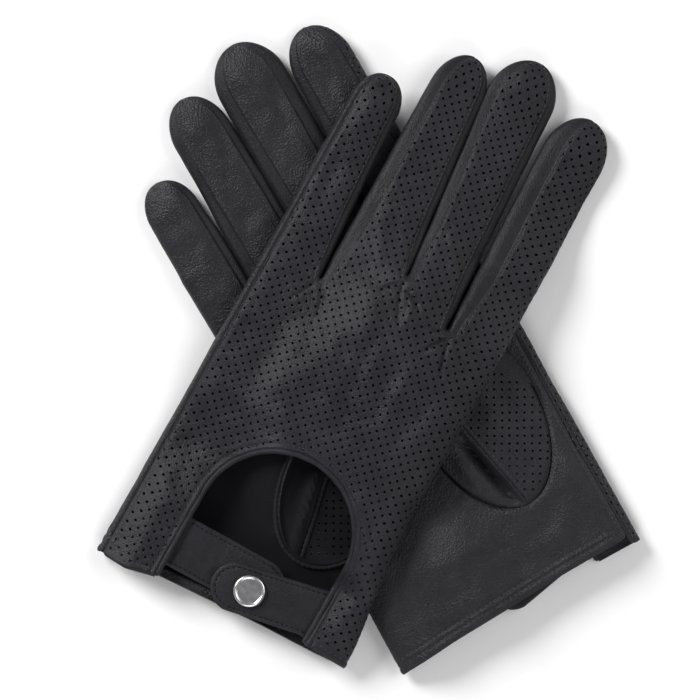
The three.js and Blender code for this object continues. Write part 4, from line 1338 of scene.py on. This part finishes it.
DISH_RADIUS = 4.85  # of the satin dish inside the cap's polished rim
SNAP_PARTS = {
    "snap_cap": [
        (0, -1.65), (1.45, -1.65), (1.5, -1.6), (1.5, 0.05), (5.5, 0.05), (5.95, 0.15), (6.18, 0.4),
        (6.25, 0.8), (6.22, 1.15), (6.12, 1.45), (5.95, 1.68), (5.75, 1.84), (5.5, 1.92),
        (5.3, 1.9), (5.1, 1.8), (4.95, 1.64), (4.8, 1.52), (4.6, 1.5), (2.5, 1.53), (0, 1.55),
    ],
    "snap_socket": [
        (0, -2.05), (2.15, -2.05), (2.2, -2.2), (2.25, -2.85), (2.4, -2.98), (4.2, -2.98),
        (4.5, -2.85), (4.6, -2.5), (4.55, -2.0), (4.35, -1.78), (4.1, -1.75), (0, -1.75),
    ],
    "snap_stud": [
        (0, -3.38), (3.7, -3.38), (3.85, -3.3), (3.85, -3.15), (3.6, -3.06), (2.2, -3.0),
        (1.75, -2.95), (1.6, -2.8), (1.85, -2.62), (1.9, -2.5), (1.8, -2.35), (1.5, -2.25),
        (0, -2.22),
    ],
    "stud_post": [
        (0, -4.9), (3.4, -4.88), (3.9, -4.75), (4.0, -4.6), (3.9, -4.47), (1.3, -4.45), (1.2, -4.4),
        (1.2, -3.45), (0, -3.42),
    ],
}


def make_snap(glove):
    for name, profile in SNAP_PARTS.items():
        points, faces = lathe(profile)
        flags = [0] * len(faces)
        if name == "snap_cap":
            flags = [int(
                points[f][:, 2].mean() > 1 and np.hypot(*points[f][:, :2].T).max() < DISH_RADIUS
            ) for f in faces]
        points = points + np.array([*SNAP, -STRAP_DEPTH])
        obj = add(
            f"{glove.name}_{name}_metal", glove, points, faces, [POLISHED, SATIN], flags, rigid=True,
            sharp=40
        )
        body = glove.tab_body if name in ("snap_cap", "snap_socket") else glove.body
        finish_piece(obj, body, [f"{glove.name}_{name}"])


# ---- stitching ----


def offset_line(line, gap):
    """A line moved sideways to its left."""
    ahead = unit(np.gradient(line, axis=0))
    return line + gap * np.column_stack([-ahead[:, 1], ahead[:, 0]])


def sewn_rows(panel):
    """(points, normals) of each row of stitches on a panel, a set distance inside its edges."""
    closed = np.concatenate([panel.outline, panel.outline[:1]])
    kinds = np.concatenate([panel.kinds, panel.kinds[:1]])
    gaps = {
        "seam": (SEAM_STITCHES,), "side": (SIDE_STITCHES,), "hem": HEM_STITCHES[panel.face],
        "keyhole": (BAND,)
    }
    if panel.face < 0:
        gaps["seam"] = ()
    around = densify(panel.outline, 0.6)
    rows = []
    changes = [0, *(np.flatnonzero(kinds[1:] != kinds[:-1]) + 1), len(kinds) - 1]
    for start, end in zip(changes, changes[1:]):
        line = densify(closed[start : end + 1], 0.5, closed=False)
        for gap in gaps[kinds[start]] if len(line) > 8 else ():
            path = offset_line(line, -gap)
            keep = (distance(path, around, True) > gap * 0.9) & inside(path, panel.outline)
            path = path[keep]
            breaks = np.flatnonzero(np.linalg.norm(np.diff(path, axis=0), axis=1) > 2.5) + 1
            rows += [panel.surface(piece) for piece in np.split(path, breaks) if len(piece) > 8]
    return rows


def make_stitching(glove, panels):
    rows = [stitches(*row) for panel in panels for row in sewn_rows(panel)]
    along = np.linspace(0.06, 1.95, 160)
    flat = np.column_stack([along, np.full(160, math.pi / 2 - 0.075)]) * THUMB_SCALE
    rows.append(stitches(*thumb_surface(glove, flat, back_edge), radius=0.17))
    points, faces = join([row for row in rows if row is not None])
    obj = add(glove.name + "_stitching", glove, points, faces, [THREAD], sharp=80)
    finish_piece(obj, glove.body)


def make_inner_seams(glove, palm):
    """The sewn edges that stand up inside the glove, round the thumb's hole and along the thumb."""
    hole = np.concatenate([palm.thumb_hole, palm.thumb_hole[:1]])
    ring = densify(offset_line(hole, -0.9), 0.4, closed=False)
    place, normal = palm.surface(ring)
    along = np.linspace(0.03, 0.9, 150)
    flat = np.column_stack([along, np.full(150, math.pi / 2)]) * THUMB_SCALE
    seam, seam_normal = thumb_surface(glove, flat, back_edge)
    shapes = []
    for path, up in (
        (place - normal * (LEATHER + 0.4), normal), (seam - seam_normal * (LEATHER + 0.3), seam_normal)
    ):
        walked = np.concatenate([[0], np.cumsum(np.linalg.norm(np.diff(path, axis=0), axis=1))])
        radius = 0.62 * (
            1 + 0.16 * np.sin(walked * 2 * math.pi / 2.1) + 0.1 * waves(path[:, 0], path[:, 1], 5, 71)
        )
        shapes.append(tube(path, radius, sides=10, normals=up))
    points, faces = join(shapes)
    obj = add(glove.name + "_inner_seams", glove, points, faces, [SEAM_EDGES], sharp=80)
    finish_piece(obj, glove.body)


# ---- the pair ----

NAMES = ["little_ring", "ring_middle", "middle_index"]

for pair_member in (LEFT, RIGHT):
    back_panel = make_back(pair_member)
    palm_panel = make_palm(pair_member)
    for position, wall_name in enumerate(NAMES):
        make_fourchette(pair_member, position, wall_name)
    make_thumb(pair_member)
    make_binding(pair_member)
    make_straps(pair_member)
    make_snap(pair_member)
    make_stitching(pair_member, [back_panel, palm_panel])
    make_inner_seams(pair_member, palm_panel)


# ---- studio ----


def flat_material(name, colour, roughness):
    material, _, shader = principled(name, Roughness=roughness, Specular_IOR_Level=0.2)
    shader.inputs["Base Color"].default_value = (*colour, 1)
    return material


def area_light(name, place, size, power, target=(0, 0, 0)):
    data = bpy.data.lights.new(name, "AREA")
    data.shape, data.size, data.energy = "DISK", size, power
    light = bpy.data.objects.new(name, data)
    light.location = place
    light.rotation_euler = (Vector(target) - Vector(place)).to_track_quat("-Z", "Y").to_euler()
    light.visible_camera = False
    bpy.context.scene.collection.objects.link(light)


def make_studio():
    floor_mesh = bpy.data.meshes.new("floor")
    size, drop = 6.0, -0.0004
    floor_mesh.from_pydata(
        [(-size, -size, drop), (size, -size, drop), (size, size, drop), (-size, size, drop)], [],
        [(0, 1, 2, 3)]
    )
    floor_mesh.materials.append(flat_material("pale_floor", (0.93, 0.93, 0.93), 0.9))
    floor = bpy.data.objects.new("floor", floor_mesh)
    bpy.context.scene.collection.objects.link(floor)
    world_light = bpy.data.worlds.new("studio")
    world_light.use_nodes = True
    background = world_light.node_tree.nodes["Background"]
    background.inputs["Color"].default_value = (1, 1, 1, 1)
    background.inputs["Strength"].default_value = 0.24
    bpy.context.scene.world = world_light
    area_light("key", (-1.1, 0.9, 1.0), 0.8, 31)
    area_light("fill", (1.1, 0.3, 1.0), 1.2, 8)
    area_light("front", (0.0, -1.2, 0.9), 1.0, 7)
    bpy.context.scene.view_settings.view_transform = "Standard"


def make_camera():
    view_width, distance_up, sensor = 0.2692, 2.2, 36.0
    data = bpy.data.cameras.new("camera")
    data.sensor_width = sensor
    data.lens = sensor * distance_up / view_width
    data.clip_end = 20
    camera = bpy.data.objects.new("camera", data)
    camera.location = (-0.0079, 0.0, distance_up + 0.01)
    bpy.context.scene.collection.objects.link(camera)
    bpy.context.scene.camera = camera


make_studio()
make_camera()
